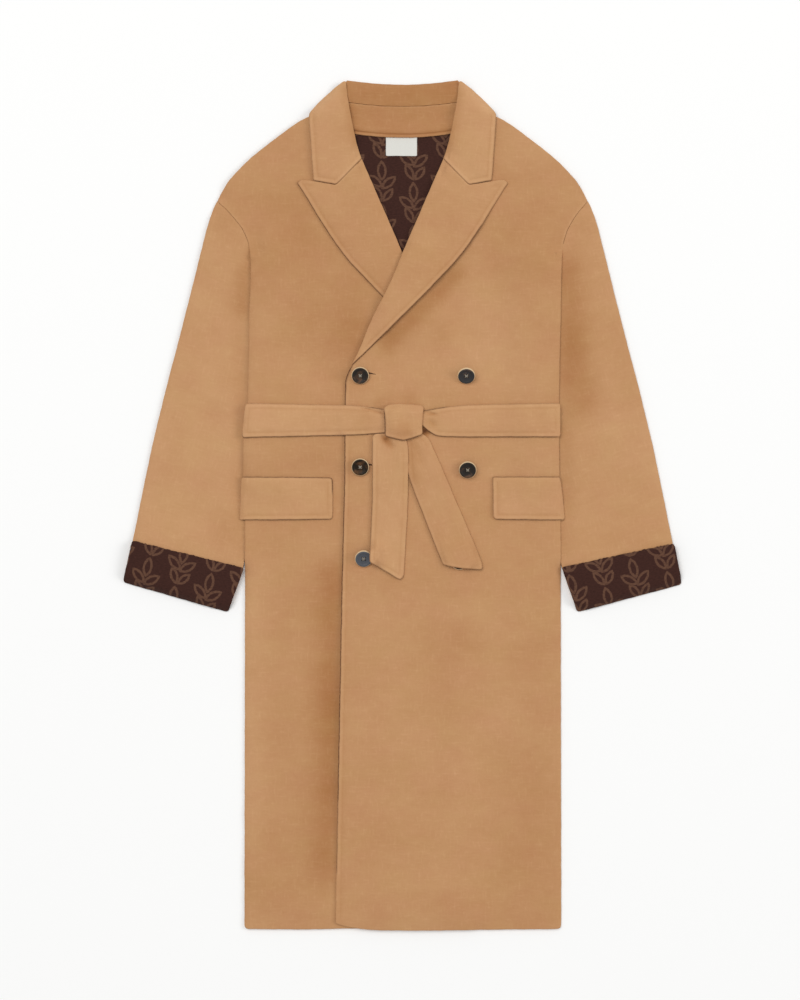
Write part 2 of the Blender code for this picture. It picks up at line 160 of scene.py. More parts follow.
BELT_LAYERS = [
    Cloth("belt_run_right", "camel", 3.0, BELT, 4, 1.4, 9, 0, 0.5),
    Cloth("belt_run_left", "camel", 3.0, BELT, 4, 1.4, 9, 0, 0.45),
    Cloth("belt_tail_left", "camel", 3.0, BELT, 5, 1.2, 9, 110, 0.25),
    Cloth("belt_tail_right", "camel", 3.0, BELT, 5, 1.2, 9, 90, 0.55),
    Cloth("belt_knot", "camel", 4.6, BELT, 5, 3.4, 9, 4, 0.5),
]

# Stretches of an edge, anticlockwise from one point to another, and their size: the radius of
# a fold or a seam, how far an edge strays, tucks under its neighbour, bulges out or lifts, the
# depth of a line pressed into the cloth at an inset, or the strength of a dark rim, which is the
# brown of the cut edge together with painted contact shadow.
Stretch = namedtuple("Stretch", "node x0 y0 x1 y1 size inset", defaults=[FINISH_INSET])
LEFT_ROLLS = [
    Stretch("front_left", 229, -609, 231, 358, 4.0),
    Stretch("front_left", 231, 368, 268, 440, 0.35),
    Stretch("sleeve_left_top", 398, -90, 272, 433, 5.0),
    Stretch("sleeve_left_top", 268.5, 440, 232, 370, 0.35),
    Stretch("sleeve_left_top", 190, 345, 232, -88, 5.0),
    Stretch("cuff_left_top", 235, -96, 403, -104, 3.6),
    Stretch("lapel_left", 56, 500, -70, 206, 3.6),
    Stretch("lapel_left", 97, 465, 58, 500, 0.35),
    Stretch("collar_leaf_left", 82, 616, 58, 503, 3.6),
    Stretch("collar_leaf_left", 136, 566, 84, 614, 3.0),
    Stretch("collar_leaf_left", 58, 500, 89, 468, 0.35),
]
MIDDLE_ROLLS = [
    Stretch("collar_fold", 91, 605, -91, 605, 4.0),
    Stretch("collar_fold", -94, 586, 94, 586, 0.35),
    Stretch("collar_stand", 94, 586, -94, 586, 0.35),
    Stretch("belt_knot", -26, 138, -24, 100, 3.6),
    Stretch("belt_knot", 27, 100, 30, 138, 3.6),
]
LEFT_SEAMS = [
    Stretch("back", 231, 356, 268, 440, SEWN),
    Stretch("front_left", 231, 356, 268, 440, SEWN),
    Stretch("sleeve_left_top", 268.5, 440, 232, 374, SEWN),
    Stretch("lapel_left", 97, 463, 58, 501, SEWN),
    Stretch("collar_leaf_left", 58, 501, 97, 463, SEWN),
]
MIDDLE_SEAMS = [
    Stretch("collar_fold", -94, 586, 94, 586, SEWN),
    Stretch("collar_stand", 94, 586, -94, 586, SEWN),
]
LEFT_FRAYS = [Stretch("cuff_left_top", 392, -64, 240, -90, 0.35)]
BULGES = [Stretch("front_right", -229, 108, -229, -12, 2.6)]
FRONT_FRAYS = [Stretch("front_left", -83, 150, -94, -606, 0.10)]
LEFT_LIFTS = [
    Stretch("collar_leaf_left", 127, 471, 136, 561, 1.2),
    Stretch("pocket_flap_left", 131, -14, 200, -20, 0.8),
    Stretch("pocket_flap_left", 235, -18, 230, 36, -1.5),
]
FRONT_LIFTS = [
    Stretch("lapel_left", -30, 243, 125, 420, 3.0),
    Stretch("front_left", -84, 120, -94, -450, 0.8),
    Stretch("belt_tail_left", 57, -83, 113, -80, 1.5),
    Stretch("belt_tail_right", -48, -79, -6, -107, 1.2),
]
LEFT_PRESSED = [
    Stretch("lapel_left", -66, 208, 129, 471, 0.45),
    Stretch("lapel_left", 97, 465, 58, 500, -0.35, 2.0),
    Stretch("collar_leaf_left", 93, 466, 136, 566, 0.45),
    Stretch("collar_leaf_left", 58, 500, 89, 468, -0.35, 2.0),
    Stretch("front_left", 231, 372, 268, 440, -0.5, 2.2),
]
OTHER_PRESSED = [
    Stretch("front_left", -84, 80, -94, -600, 0.35),
    Stretch("pocket_flap_left", 130, 38, 232, -20, 0.45),
    Stretch("pocket_flap_right", -234, -20, -103, 34, 0.45),
    Stretch("collar_stand", 94, 586, -94, 586, -0.5, 1.0),
    Stretch("collar_stand", -84, 541, 84, 541, 1.10, 5.0),
    Stretch("belt_run_left", 48, 100, 40, 139, 0.45),
    Stretch("belt_run_right", -48, 143, -48, 102, 0.45),
    Stretch("belt_tail_left", 42, 90, 9, 40, 0.40),
    Stretch("belt_tail_right", -44, 86, 9, 80, 0.40),
]
# Dark rims: the brown of the cut edge and painted contact shadow beside raised edges.
LEFT_RIMS_AND_SHADOWS = [
    Stretch("collar_leaf_left", 58, 500, 97, 463, 0.35),
    Stretch("collar_leaf_left", 97, 463, 127, 471, 0.60),
]
OTHER_RIMS_AND_SHADOWS = [
    Stretch("lapel_left", -74, 201, -30, 250, 1.0),
    Stretch("lapel_left", -30, 250, 110, 405, 0.90),
    Stretch("lapel_left", 110, 405, 153, 467, 0.35),
    Stretch("lapel_right", -153, 467, 74, 201, 0.85),
    Stretch("front_left", -74, 200, -83, 160, 1.5),
    Stretch("front_left", -83, 160, -84, 120, 1.2),
    Stretch("front_left", -84, 120, -94, -430, 1.15),
    Stretch("front_left", -94, -430, -95, -530, 0.60),
    Stretch("collar_leaf_left", 127, 471, 136, 566, 0.20),
    Stretch("collar_leaf_right", -136, 566, -127, 471, 0.30),
    Stretch("pocket_flap_left", 133, -21, 232, -21, 0.70),
    Stretch("pocket_flap_left", 230, 38, 131, 38, 0.75),
    Stretch("pocket_flap_left", 130, 36, 131, -14, 0.50),
    Stretch("pocket_flap_right", -232, -21, -104, -20, 0.75),
    Stretch("pocket_flap_right", -103, 20, -230, 38, 0.85),
    Stretch("belt_run_left", 28, 115, 48, 100, 1.0),
    Stretch("belt_run_left", 48, 100, 224, 98, 0.75),
    Stretch("belt_run_left", 224, 145, 64, 143, 0.25),
    Stretch("belt_run_left", 64, 143, 29, 137, 0.85),
    Stretch("belt_run_right", -230, 101, -60, 101, 0.75),
    Stretch("belt_run_right", -60, 101, -24, 104, 1.0),
    Stretch("belt_run_right", -28, 138, -48, 142, 0.90),
    Stretch("belt_run_right", -48, 142, -230, 143, 0.25),
    Stretch("belt_tail_left", 9, 40, 57, -83, 0.60),
    Stretch("belt_tail_left", 58, -87, 114, -90, 0.60),
    Stretch("belt_tail_right", -43, 95, 0, -106, 0.60),
    Stretch("belt_knot", -26, 134, -26, 101, 1.3),
    Stretch("belt_knot", -26, 99, 27, 101, 0.85),
]

# Soft patches and bands of paler or deeper nap, mostly painted shade and painted light: shade beside
# raised edges, under the lapels and belt and in hollows, light to even out a side, and a few broad
# differences in the lie of the nap. Below -1 they are painted shadow, as dark as the cut edge.
Patch = namedtuple("Patch", "node x y reach tone")
NAP_LIGHT_AND_SHADE_PATCHES = [
    Patch("front_left", 105, 300, 45, 0.2),
    Patch("front_left", 180, 400, 90, -0.3),
    Patch("front_left", 130, 215, 60, 0.3),
    Patch("front_left", -20, -225, 75, 0.2),
    Patch("front_left", 130, -530, 110, -0.15),
    Patch("front_left", 80, -430, 55, 0.2),
    Patch("front_left", -22, 151, 13, -0.35),
    Patch("front_left", 12, 151, 13, -0.35),
    Patch("front_left", -36, 146, 7, -0.4),
    # A dark wedge of painted shadow between the belt and its tail.
    Patch("front_left", 32.5, 107, 6, -3.5),
    Patch("front_right", -170, 400, 90, -0.3),
    Patch("front_right", -110, 250, 70, -0.15),
    Patch("front_right", -70, 255, 42, -0.55),
    Patch("front_right", -125, 178, 32, 0.25),
    Patch("front_right", -220, 250, 40, 0.2),
    Patch("front_right", -222, 70, 34, 0.3),
    Patch("belt_run_right", -52, 126, 12, -0.2),
    Patch("belt_run_right", -45, 122, 30, -0.2),
    Patch("belt_run_right", -215, 120, 40, 0.2),
    Patch("belt_run_left", 42, 118, 7, -0.4),
    # Painted shadow in the hollow under the knot.
    Patch("belt_tail_right", -24, 95, 6, -1.6),
    Patch("belt_tail_right", -18, 87, 6, -0.5),
    Patch("belt_knot", 4, 104, 14, -0.4),
    Patch("belt_knot", -8, 108, 16, -0.2),
    Patch("sleeve_left_top", 320, 150, 90, 0.1),
    Patch("sleeve_left_top", 250, 385, 34, -0.25),
    Patch("sleeve_left_top", 312, 300, 30, 0.25),
    Patch("sleeve_left_top", 378, 40, 24, 0.3),
    Patch("sleeve_right_top", -320, 120, 90, 0.1),
    Patch("sleeve_right_top", -255, -40, 30, -0.4),
    Patch("sleeve_right_top", -252, 410, 30, -0.25),
    Patch("sleeve_right_top", -365, 90, 30, 0.35),
    Patch("collar_leaf_left", 64, 545, 24, -0.4),
    Patch("collar_leaf_right", -80, 545, 24, -0.3),
]
Band = namedtuple("Band", "node x0 y0 x1 y1 reach tone")
LIGHT_AND_SHADE_BANDS = [
    Band("collar_stand", -82, 570, -74, 545, 14, -0.5),
    Band("collar_fold", -84, 602, -84, 588, 12, -0.3),
    Band("collar_leaf_left", 82, 600, 64, 515, 9, -0.5),
    Band("collar_leaf_left", 122, 574, 94, 604, 10, 0.4),
    Band("collar_leaf_right", -82, 600, -66, 525, 9, -0.6),
    Band("collar_leaf_right", -122, 574, -94, 604, 10, 0.4),
    Band("front_left", 74, 332, -20, 236, 17, -0.9),
    Band("front_right", -102, -105, -116, -520, 28, -0.6),
    Band("front_right", -224, -100, -224, -480, 34, 0.3),
    Band("belt_tail_left", 14, 88, 17, 40, 11, -0.4),
    Band("sleeve_left_top", 238, 340, 260, 150, 24, -0.7),
    Band("sleeve_right_top", -230, 335, -230, 285, 16, -0.65),
]

# Soft folds in the cloth: each runs from one point to another, bowed sideways, and stands up
# from the cloth or, with a height below nought, sinks into it. A sunken fold is also drawn
# darker, as painted shade, and a raised one paler, as painted light.
Crease = namedtuple("Crease", "node x0 y0 x1 y1 width height bow")
CREASES = [
    Crease("front_right", -104, -60, -110, -590, 15, -2.4, 4),
    Crease("front_right", -150, -80, -146, -420, 20, 0.8, -6),
    Crease("front_right", -190, -200, -196, -560, 22, -0.8, 5),
    Crease("front_right", -170, 330, -110, 150, 26, -0.9, 8),
    Crease("front_left", 60, -150, 52, -520, 24, -0.8, 6),
    Crease("front_left", 140, -60, 150, -380, 26, 0.8, -5),
    Crease("front_left", 185, -260, 178, -570, 20, -0.7, 4),
    Crease("front_left", 150, 330, 110, 180, 26, 0.9, 6),
    Crease("front_left", 30, 200, 110, 320, 14, -1.0, 4),
    Crease("sleeve_left_top", 170, 354, 236, 360, 13, -6.0, 0),
    Crease("sleeve_right_top", -236, 360, -170, 354, 13, -6.0, 0),
    Crease("sleeve_left_top", 236, 350, 236, -120, 12, -2.0, 0),
    Crease("sleeve_right_top", -234, -120, -234, 350, 12, -2.2, 0),
    Crease("sleeve_right_top", -224, 0, -243, -112, 2.0, -1.4, 0),
    Crease("sleeve_left_top", 226, 0, 240, -112, 2.0, -1.4, 0),
    Crease("sleeve_left_top", 262, 300, 318, 30, 18, 0.8, 6),
    Crease("sleeve_left_top", 300, 180, 250, 150, 16, -0.8, 3),
    Crease("sleeve_right_top", -262, 280, -322, 10, 18, 0.8, -6),
    Crease("sleeve_right_top", -310, 160, -255, 120, 16, -0.8, -3),
    Crease("belt_run_right", -72, 142, 0, 127, 1.7, -3.4, 0),
    Crease("belt_run_right", -80, 141, -26, 136, 2.6, 0.6, 1),
    Crease("belt_run_right", -70, 106, -22, 110, 4.0, -0.8, -1),
    Crease("belt_run_left", 0, 142.5, 58, 127.5, 2.0, -4.6, 0),
    Crease("belt_run_left", 34, 124, 52, 108, 4.0, -1.6, 2),
    Crease("belt_run_left", 28, 136, 74, 140, 3.0, 0.8, 2),
    Crease("belt_run_left", 200, 100, 206, 146, 10, -0.9, 2),
    Crease("belt_tail_right", -34, 104, -12, 78, 4.5, -3.0, 2),
    Crease("belt_tail_right", -38, 98, -39, 50, 4.0, 0.8, 0),
    Crease("belt_tail_left", 14, 92, 30, 50, 6.0, -1.0, 2),
    Crease("belt_knot", -20, 104, 22, 106, 6.0, -1.4, -3),
    Crease("belt_knot", -22, 130, 24, 134, 9.0, 0.9, 2),
]

# Buttons, in millimetres
BUTTON_RADIUS = 12.7
BUTTON_SIDES = 48
HOLE_RADIUS = 1.05
HOLE_PLACE = 2.3  # from the button's middle, along and across
HOLE_SIDES = 10
THREAD_RADIUS = 0.42
THREAD_POINTS = 9
THREAD_SPREAD = 0.62  # how far the outer turns of a bar of thread bow aside
THREAD_DEPTH = 0.6  # where a thread comes up in its hole
THREAD_ARCH = 2.4  # how far it rises from there over the face
THREAD_BEND = 0.4  # below 1, so that it rises steeply and runs flat over the face
THREAD_CROSS = 0.3  # how much higher the second bar passes over the first
THREAD_UNEVEN = (0.85, 1.1)  # the thinnest and thickest turns, as shares of the radius
ASKEW = (0.3, 0.2, 1.0)  # a direction that no thread runs along
Rim = namedtuple("Rim", "radius height")
BUTTON_FACE = [
    Rim(0.0, 2.1),
    Rim(4.6, 2.2),
    Rim(7.2, 2.5),
    Rim(8.4, 3.0),
    Rim(9.2, 3.6),
    Rim(10.2, 3.9),
    Rim(11.4, 3.75),
    Rim(12.2, 3.1),
    Rim(BUTTON_RADIUS, 2.2),
]
BUTTON_TOP = max(rim.height for rim in BUTTON_FACE)
BUTTON_UNDERSIDE = 0.5
BUTTON_FLAT = 10.5  # from the middle to where the underside starts to round up
BUTTON_FOOT = 11.0
BORED_RADIUS = 4.0  # the middle of the face, where the holes are bored
BUTTON_EDGE = 2.2  # the height of the widest part of a button
HORN_EDGE = 11.6  # from the middle to where the rim starts to pale
HORN_FADE = 0.6  # how far on it is wholly pale
# tip: how far a button's upper edge stands up, in degrees. The last column: how much of its face is
# washed blue-grey, a painted reflection.
Button = namedtuple("Button", "node tip grey")
BUTTONS = [
    Button("button_right_top", 16, 0.1),
    Button("button_left_top", 30, 0.3),
    Button("button_right_middle", 12, 0.0),
    Button("button_left_middle", 18, 0.1),
    Button("button_right_low", 20, 1.0),
    Button("button_left_low", 0, 0.0),
]
# Worked buttonholes, which show past the buttons that close the coat
BUTTONHOLES = {"button_right_top", "button_right_middle"}
BUTTONHOLE_START = 8.0  # from the button's middle
BUTTONHOLE_STITCHES = 20
BUTTONHOLE_STEP = 0.75
BUTTONHOLE_RISE = 4.6
BUTTONHOLE_HALF = 1.1
BUTTONHOLE_SLANT = 0.2  # how far it comes down for each step along
BUTTONHOLE_TAPER = 0.8  # how much narrower its last stitch is
STITCH_RISE = 0.55  # the middle of a stitch above the cloth
STITCH_ARCH = 0.6  # how far its ends come down from there
STITCH_THINNING = 0.5


def both_sides(stretches):
    """The same stretches on the wearer's right too, where anticlockwise runs the other way."""
    return stretches + [
        s._replace(node=s.node.replace("left", "right"), x0=-s.x1, y0=s.y1, x1=-s.x0, y1=s.y0)
        for s in stretches
    ]


ROLLS = both_sides(LEFT_ROLLS) + MIDDLE_ROLLS
SEAMS = both_sides(LEFT_SEAMS) + MIDDLE_SEAMS
FRAYS = both_sides(LEFT_FRAYS) + FRONT_FRAYS
LIFTS = both_sides(LEFT_LIFTS) + FRONT_LIFTS
PRESSED = both_sides(LEFT_PRESSED) + OTHER_PRESSED
RIMS_AND_SHADOWS = both_sides(LEFT_RIMS_AND_SHADOWS) + OTHER_RIMS_AND_SHADOWS


# Outlines

def upper_outline(node):
    """The outline of a solid's upper face, anticlockwise, in millimetres."""
    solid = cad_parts[node].data
    ahead = {}
    for face in solid.polygons:
        if face.normal.z < UPWARD:
            continue
        keys = [tuple(round(c, 6) for c in solid.vertices[i].co) for i in face.vertices]
        for here, following in zip(keys, keys[1:] + keys[:1]):
            ahead[here, following] = True
    edge = {here: following for here, following in ahead if (following, here) not in ahead}
    start = min(edge)
    loop = [start]
    while edge[loop[-1]] != start:
        loop.append(edge[loop[-1]])
    return np.array(loop)[:, :2] / MM


def hard_corners(outline):
    """Which points of an outline turn sharply."""
    back = np.roll(outline, 1, axis=0) - outline
    on = np.roll(outline, -1, axis=0) - outline
    lengths = np.linalg.norm(back, axis=1) * np.linalg.norm(on, axis=1)
    cosine = (back * on).sum(axis=1) / lengths
    return math.pi - np.arccos(np.clip(cosine, -1, 1)) > HARD_CORNER


def eased(outline, rounds=3):
    """The outline with its facets cut off into curves, apart from its hard corners."""
    for _ in range(rounds):
        back = np.roll(outline, 1, axis=0) - outline
        on = np.roll(outline, -1, axis=0) - outline
        points = []
        for here, before, after, hard in zip(outline, back, on, hard_corners(outline)):
            points += [here] if hard else [here + 0.25 * before, here + 0.25 * after]
        outline = np.array(points)
    return outline


def evenly_spaced(outline, step):
    """Points at equal steps along a closed outline, from each hard corner to the next."""
    corners = np.flatnonzero(hard_corners(outline))
    first = corners[0] if len(corners) else 0
    closed = np.concatenate([outline[first:], outline[:first + 1]])
    along = np.concatenate([[0], np.cumsum(np.linalg.norm(np.diff(closed, axis=0), axis=1))])
    ends = [0, *along[corners[1:] - first], along[-1]]
    wanted = np.concatenate([
        np.linspace(start, end, max(1, round((end - start) / step)), endpoint=False)
        for start, end in zip(ends[:-1], ends[1:])
    ])
    return np.stack([np.interp(wanted, along, closed[:, axis]) for axis in (0, 1)], axis=1)


def inward(outline):
    """The direction into the piece at each point of its outline."""
    along = np.roll(outline, -1, axis=0) - np.roll(outline, 1, axis=0)
    across = np.stack([-along[:, 1], along[:, 0]], axis=1)
    return across / np.maximum(np.linalg.norm(across, axis=1), 1e-9)[:, None]


def wandering(outline, frays, seams, bulges, random):
    """The outline with the small unevenness of a free edge, or of one that frays."""
    share = np.arange(len(outline)) / len(outline)
    stray = np.zeros(len(outline))
    length = len(outline) * EDGE_STEP
    for wave in EDGE_WAVES:
        turns = max(1, round(length / wave))
        stray += np.sin(2 * math.pi * (turns * share + random.random()))
    stray = stray * EDGE_WANDER / 2 * (1 - seams / SEWN) + frays * random.standard_normal(len(outline))
    return outline + inward(outline) * (stray - seams - bulges)[:, None]


def stretch_share(outline, stretch):
    """Which points of the outline a stretch holds, with its ends faded."""
    first, last = (
        int(np.argmin(np.linalg.norm(outline - place, axis=1)))
        for place in ((stretch.x0, stretch.y0), (stretch.x1, stretch.y1))
    )
    count = (last - first) % len(outline)
    share = np.zeros(len(outline))
    share[(first + np.arange(count + 1)) % len(outline)] = 1
    for _ in range(2):
        share = (np.roll(share, 1) + share + np.roll(share, -1)) / 3
    return share


def stretch_sizes(node, outline, stretches, plain=0.0):
    """The size that applies at each point of a piece's outline."""
    sizes = np.full(len(outline), plain)
    for stretch in stretches:
        if stretch.node == node:
            share = stretch_share(outline, stretch)
            sizes = sizes * (1 - share) + stretch.size * share
    return sizes


# Flat cutting


def nearest_edge(points, outline):
    """How far each point is from the outline, and the outline point that it is nearest to."""
    tree = kdtree.KDTree(len(outline))
    for index, (x, y) in enumerate(outline):
        tree.insert((x, y, 0), index)
    tree.balance()
    index = np.array([tree.find((x, y, 0))[1] for x, y in points])
    distance = np.full(len(points), np.inf)
    for other in (-1, 1):
        start = outline[index]
        along = outline[(index + other) % len(outline)] - start
        reach = points - start
        share = np.clip((reach * along).sum(1) / np.maximum((along**2).sum(1), 1e-9), 0, 1)
        distance = np.minimum(distance, np.linalg.norm(reach - share[:, None] * along, axis=1))
    return distance, index


def covered(outline, xs, ys):
    """Which points of a grid lie inside the outline."""
    start, end = outline, np.roll(outline, -1, axis=0)
    mask = np.zeros((len(ys), len(xs)), bool)
    for row, y in enumerate(ys):
        crosses = (start[:, 1] > y) != (end[:, 1] > y)
        a, b = start[crosses], end[crosses]
        crossings = a[:, 0] + (y - a[:, 1]) * (b[:, 0] - a[:, 0]) / (b[:, 1] - a[:, 1])
        mask[row] = (xs[None, :] > crossings[:, None]).sum(axis=0) % 2 == 1
    return mask


def inside_points(points, outline):
    """Which of some loose points lie inside the outline."""
    start, end = outline, np.roll(outline, -1, axis=0)
    inside = np.zeros(len(points), bool)
    for (x0, y0), (x1, y1) in zip(start, end):
        if y0 == y1:
            continue
        crosses = (y0 > points[:, 1]) != (y1 > points[:, 1])
        inside ^= crosses & (points[:, 0] < x0 + (points[:, 1] - y0) * (x1 - x0) / (y1 - y0))
    return inside


def staggered(low, high, spacing):
    """A grid of points in staggered rows."""
    rows = np.arange(low[1], high[1], spacing * math.sqrt(0.75))
    columns = np.arange(low[0], high[0], spacing)
    x, y = np.meshgrid(columns, rows)
    x[1::2] += spacing / 2
    return np.stack([x.ravel(), y.ravel()], axis=1)


def flat_cut(outline, spacing, depths):
    """A piece's flat shape: its points, outline first, and its triangles."""
    loose = [outline + inward(outline) * depth for depth in depths]
    kept = []
    for row, depth in zip(loose, depths):
        distance, _ = nearest_edge(row, outline)
        kept.append(row[(distance > ROW_KEPT * depth) & inside_points(row, outline)])
    grid = staggered(outline.min(axis=0), outline.max(axis=0), spacing)
    grid = grid[inside_points(grid, outline)]
    distance, _ = nearest_edge(grid, outline)
    kept.append(grid[distance > depths[-1] + GRID_CLEAR * spacing])
    points = [Vector(point) for point in np.concatenate([outline, *kept])]
    found = delaunay_2d_cdt(points, [], [list(range(len(outline)))], 1, 1e-4, True)
    triangles = np.array(found[2])
    on_edge = np.array([bool(ids) and min(ids) < len(outline) for ids in found[3]])
    triangles = triangles[~on_edge[triangles].all(axis=1)]
    return np.array(found[0]), triangles, on_edge


# Draping

def blurred(field, reach):
    """A grid of heights, smoothed over a distance."""
    steps = max(1, math.ceil(2.5 * reach / CELL))
    offsets = np.arange(-steps, steps + 1)
    weights = np.exp(-0.5 * (offsets * CELL / reach) ** 2)
    weights /= weights.sum()
    for axis in (0, 1):
        field = sum(w * np.roll(field, k, axis=axis) for w, k in zip(weights, offsets))
    return field


def widened(field, reach):
    """A grid of heights where each place has the greatest height near it."""
    steps = max(1, round(reach / CELL))
    for axis in (0, 1):
        field = np.max([np.roll(field, k, axis=axis) for k in range(-steps, steps + 1)], axis=0)
    return field


def soft_step(values):
    """Nought to one, easing in and out."""
    values = np.clip(values, 0, 1)
    return values * values * (3 - 2 * values)


def creased(node, x, y):
    """The height of a piece's creases over a grid."""
    total = np.zeros(x.shape)
    for crease in CREASES:
        if crease.node != node:
            continue
        run = np.array([crease.x1 - crease.x0, crease.y1 - crease.y0], float)
        length = np.linalg.norm(run)
        run /= length
        along = ((x - crease.x0) * run[0] + (y - crease.y0) * run[1]) / length
        across = (y - crease.y0) * run[0] - (x - crease.x0) * run[1]
        across = across - crease.bow * 4 * along * (1 - along)
        ends = soft_step(along / CREASE_FADE) * soft_step((1 - along) / CREASE_FADE)
        total += crease.height * np.exp(-((across / crease.width) ** 2)) * ends
    return total


def nap_light_and_shade(node, points):
    """How much paler or deeper a piece's patches and bands make it at each point: the lie of its nap,
    painted shade and painted light.
    """
    total = np.zeros(len(points))
    for patch in NAP_LIGHT_AND_SHADE_PATCHES:
        if patch.node == node:
            away = np.linalg.norm(points - (patch.x, patch.y), axis=1)
            total += patch.tone * np.exp(-((away / patch.reach) ** 2))
    for band in LIGHT_AND_SHADE_BANDS:
        if band.node == node:
            run = np.array([band.x1 - band.x0, band.y1 - band.y0], float)
            start = points - (band.x0, band.y0)
            along = np.clip(start @ run / (run @ run), 0, 1)
            away = np.linalg.norm(start - along[:, None] * run, axis=1)
            total += band.tone * np.exp(-((away / band.reach) ** 2))
    return total


class Pile:
    """The height of the cloth laid so far, on a fine grid over the floor."""

    def __init__(self):
        low, high = (np.array(corner[:2]) / MM for corner in cad_box)
        self.corner = low - MARGIN
        columns, rows = np.ceil((high - low + 2 * MARGIN) / CELL).astype(int) + 1
        self.xs = self.corner[0] + CELL * np.arange(columns)
        self.ys = self.corner[1] + CELL * np.arange(rows)
        self.height = np.zeros((rows, columns))
        self.owner = np.full((rows, columns), "", dtype=object)

    def window(self, outline):
        """The part of the grid round an outline."""
        first = np.floor((outline.min(axis=0) - MARGIN - self.corner) / CELL).astype(int)
        last = np.ceil((outline.max(axis=0) + MARGIN - self.corner) / CELL).astype(int)
        first = np.maximum(first, 0)
        return slice(first[1], last[1] + 1), slice(first[0], last[0] + 1)

    def sampled(self, field, window, points):
        """The heights of a window's field at loose points."""
        rows, columns = window
        across = np.clip((points[:, 0] - self.xs[columns.start]) / CELL, 0, field.shape[1] - 1.001)
        up = np.clip((points[:, 1] - self.ys[rows.start]) / CELL, 0, field.shape[0] - 1.001)
        i, j = across.astype(int), up.astype(int)
        a, b = across - i, up - j
        below = field[j, i] * (1 - a) + field[j, i + 1] * a
        above = field[j + 1, i] * (1 - a) + field[j + 1, i + 1] * a
        return below * (1 - b) + above * b

    def edge_line(self, outline, values, window, shape):
        """A field with the values of an outline's points along it, and nought elsewhere."""
        line = np.zeros(shape)
        columns = np.round((outline[:, 0] - self.xs[window[1].start]) / CELL).astype(int)
        rows = np.round((outline[:, 1] - self.ys[window[0].start]) / CELL).astype(int)
        np.maximum.at(line, (rows, columns), values)
        return line

    def lifted(self, node, outline, window, shape):
        """How far a piece's loose edges stand up, as a field."""
        total = np.zeros(shape)
        for stretch in LIFTS:
            if stretch.node == node:
                share = stretch_share(outline, stretch)
                near = blurred(self.edge_line(outline, share, window, shape), LIFT_REACH)
                total += stretch.size * near / near.max()
        return total

    def drape(self, cloth, outline, seams, random):
        """Lay a piece on the pile: its lower and upper face as fields, and what it lies on."""
        window = self.window(outline)
        xs, ys = self.xs[window[1]], self.ys[window[0]]
        mask = covered(outline, xs, ys)
        sewn = widened(self.edge_line(outline, seams, window, mask.shape), SEAM_CLEAR) > SEWN / 2
        held = mask & ~sewn
        support = np.where(held, self.height[window], 0)
        snug, slack = (
            blurred(widened(support, reach) * mask, reach / 2)
            / np.maximum(blurred(mask.astype(float), reach / 2), 1e-6)
            for reach in (cloth.drape, cloth.drape * SLACK)
        )
        inner = soft_step(2 * blurred(mask.astype(float), cloth.drape * SLACK / 2) - 1)
        lower = snug * (1 - inner) + slack * inner
        if seams.any():
            close = blurred(support, 2 * CELL) / np.maximum(blurred(held.astype(float), 2 * CELL), 1e-6)
            beside = blurred(self.edge_line(outline, seams, window, mask.shape), SEAM_REACH)
            beside = np.clip(3 * beside / beside.max(), 0, 1)
            lower = lower * (1 - beside) + np.minimum(close, lower) * beside
        lower = lower + self.lifted(cloth.node, outline, window, mask.shape)
        lower = np.where(mask, np.maximum(lower, support), lower) + REST * (support.max() > 0)
        onward = outline - inward(outline) * (2 * cloth.swell * seams / SEWN)[:, None]
        full = mask | covered(onward, xs, ys)
        swell = soft_step(2 * blurred(full.astype(float), cloth.swell) - 1)
        uneven = blurred(random.standard_normal(mask.shape), UNEVEN_REACH)
        uneven /= max(uneven.std(), 1e-9)
        relief = creased(cloth.node, *np.meshgrid(xs, ys))
        loft = cloth.loft + UNEVEN_SHARE * cloth.loft * uneven
        upper = lower + cloth.thick + swell * loft + relief
        upper = np.maximum(upper, lower + THINNEST)
        owners = self.owner[window][mask]
        names, counts = np.unique(owners[owners != ""].astype(str), return_counts=True)
        enough = COVERED_SHARE * mask.sum()
        under = [str(name) for name, count in zip(names, counts) if count > enough]
        self.height[window][mask] = upper[mask]
        self.owner[window][mask] = cloth.node
        return window, lower, upper, under

    def level(self, x, y):
        """The height of the pile at one place."""
        return self.height[round((y - self.corner[1]) / CELL), round((x - self.corner[0]) / CELL)]

    def seat(self, middle, radius, top, name):
        """Stand a button on the highest cloth under it."""
        disc = (self.xs[None, :] - middle[0]) ** 2 + (self.ys[:, None] - middle[1]) ** 2 < radius**2
        seat = self.height[disc].max() + REST
        self.height[disc] = seat + top
        self.owner[disc] = name
        return seat


def placed(name, data):
    """A new object in the scene."""
    thing = bpy.data.objects.new(name, data)
    bpy.context.scene.collection.objects.link(thing)
    return thing


def shell_object(name, points, triangles, on_edge, lower, upper):
    """A closed shell between two faces that share their edge points."""
    inner = np.flatnonzero(~on_edge)
    place = np.full(len(points), -1)
    place[inner] = len(points) + np.arange(len(inner))
    under = np.where(on_edge, np.arange(len(points)), place)
    top = np.column_stack([points, upper])
    bottom = np.column_stack([points[inner], lower[inner]])
    faces = np.concatenate([triangles, under[triangles][:, ::-1]])
    used, faces = np.unique(faces, return_inverse=True)
    vertices = np.concatenate([top, bottom])[used] * MM
    shape = bpy.data.meshes.new(name)
    shape.from_pydata(vertices.tolist(), [], faces.reshape(-1, 3).tolist())
    shape.shade_smooth()
    shape.set_sharp_from_angle(angle=SHARP_EDGE)
    source = np.concatenate([np.arange(len(points)), inner])[used]
    return placed(name, shape), source


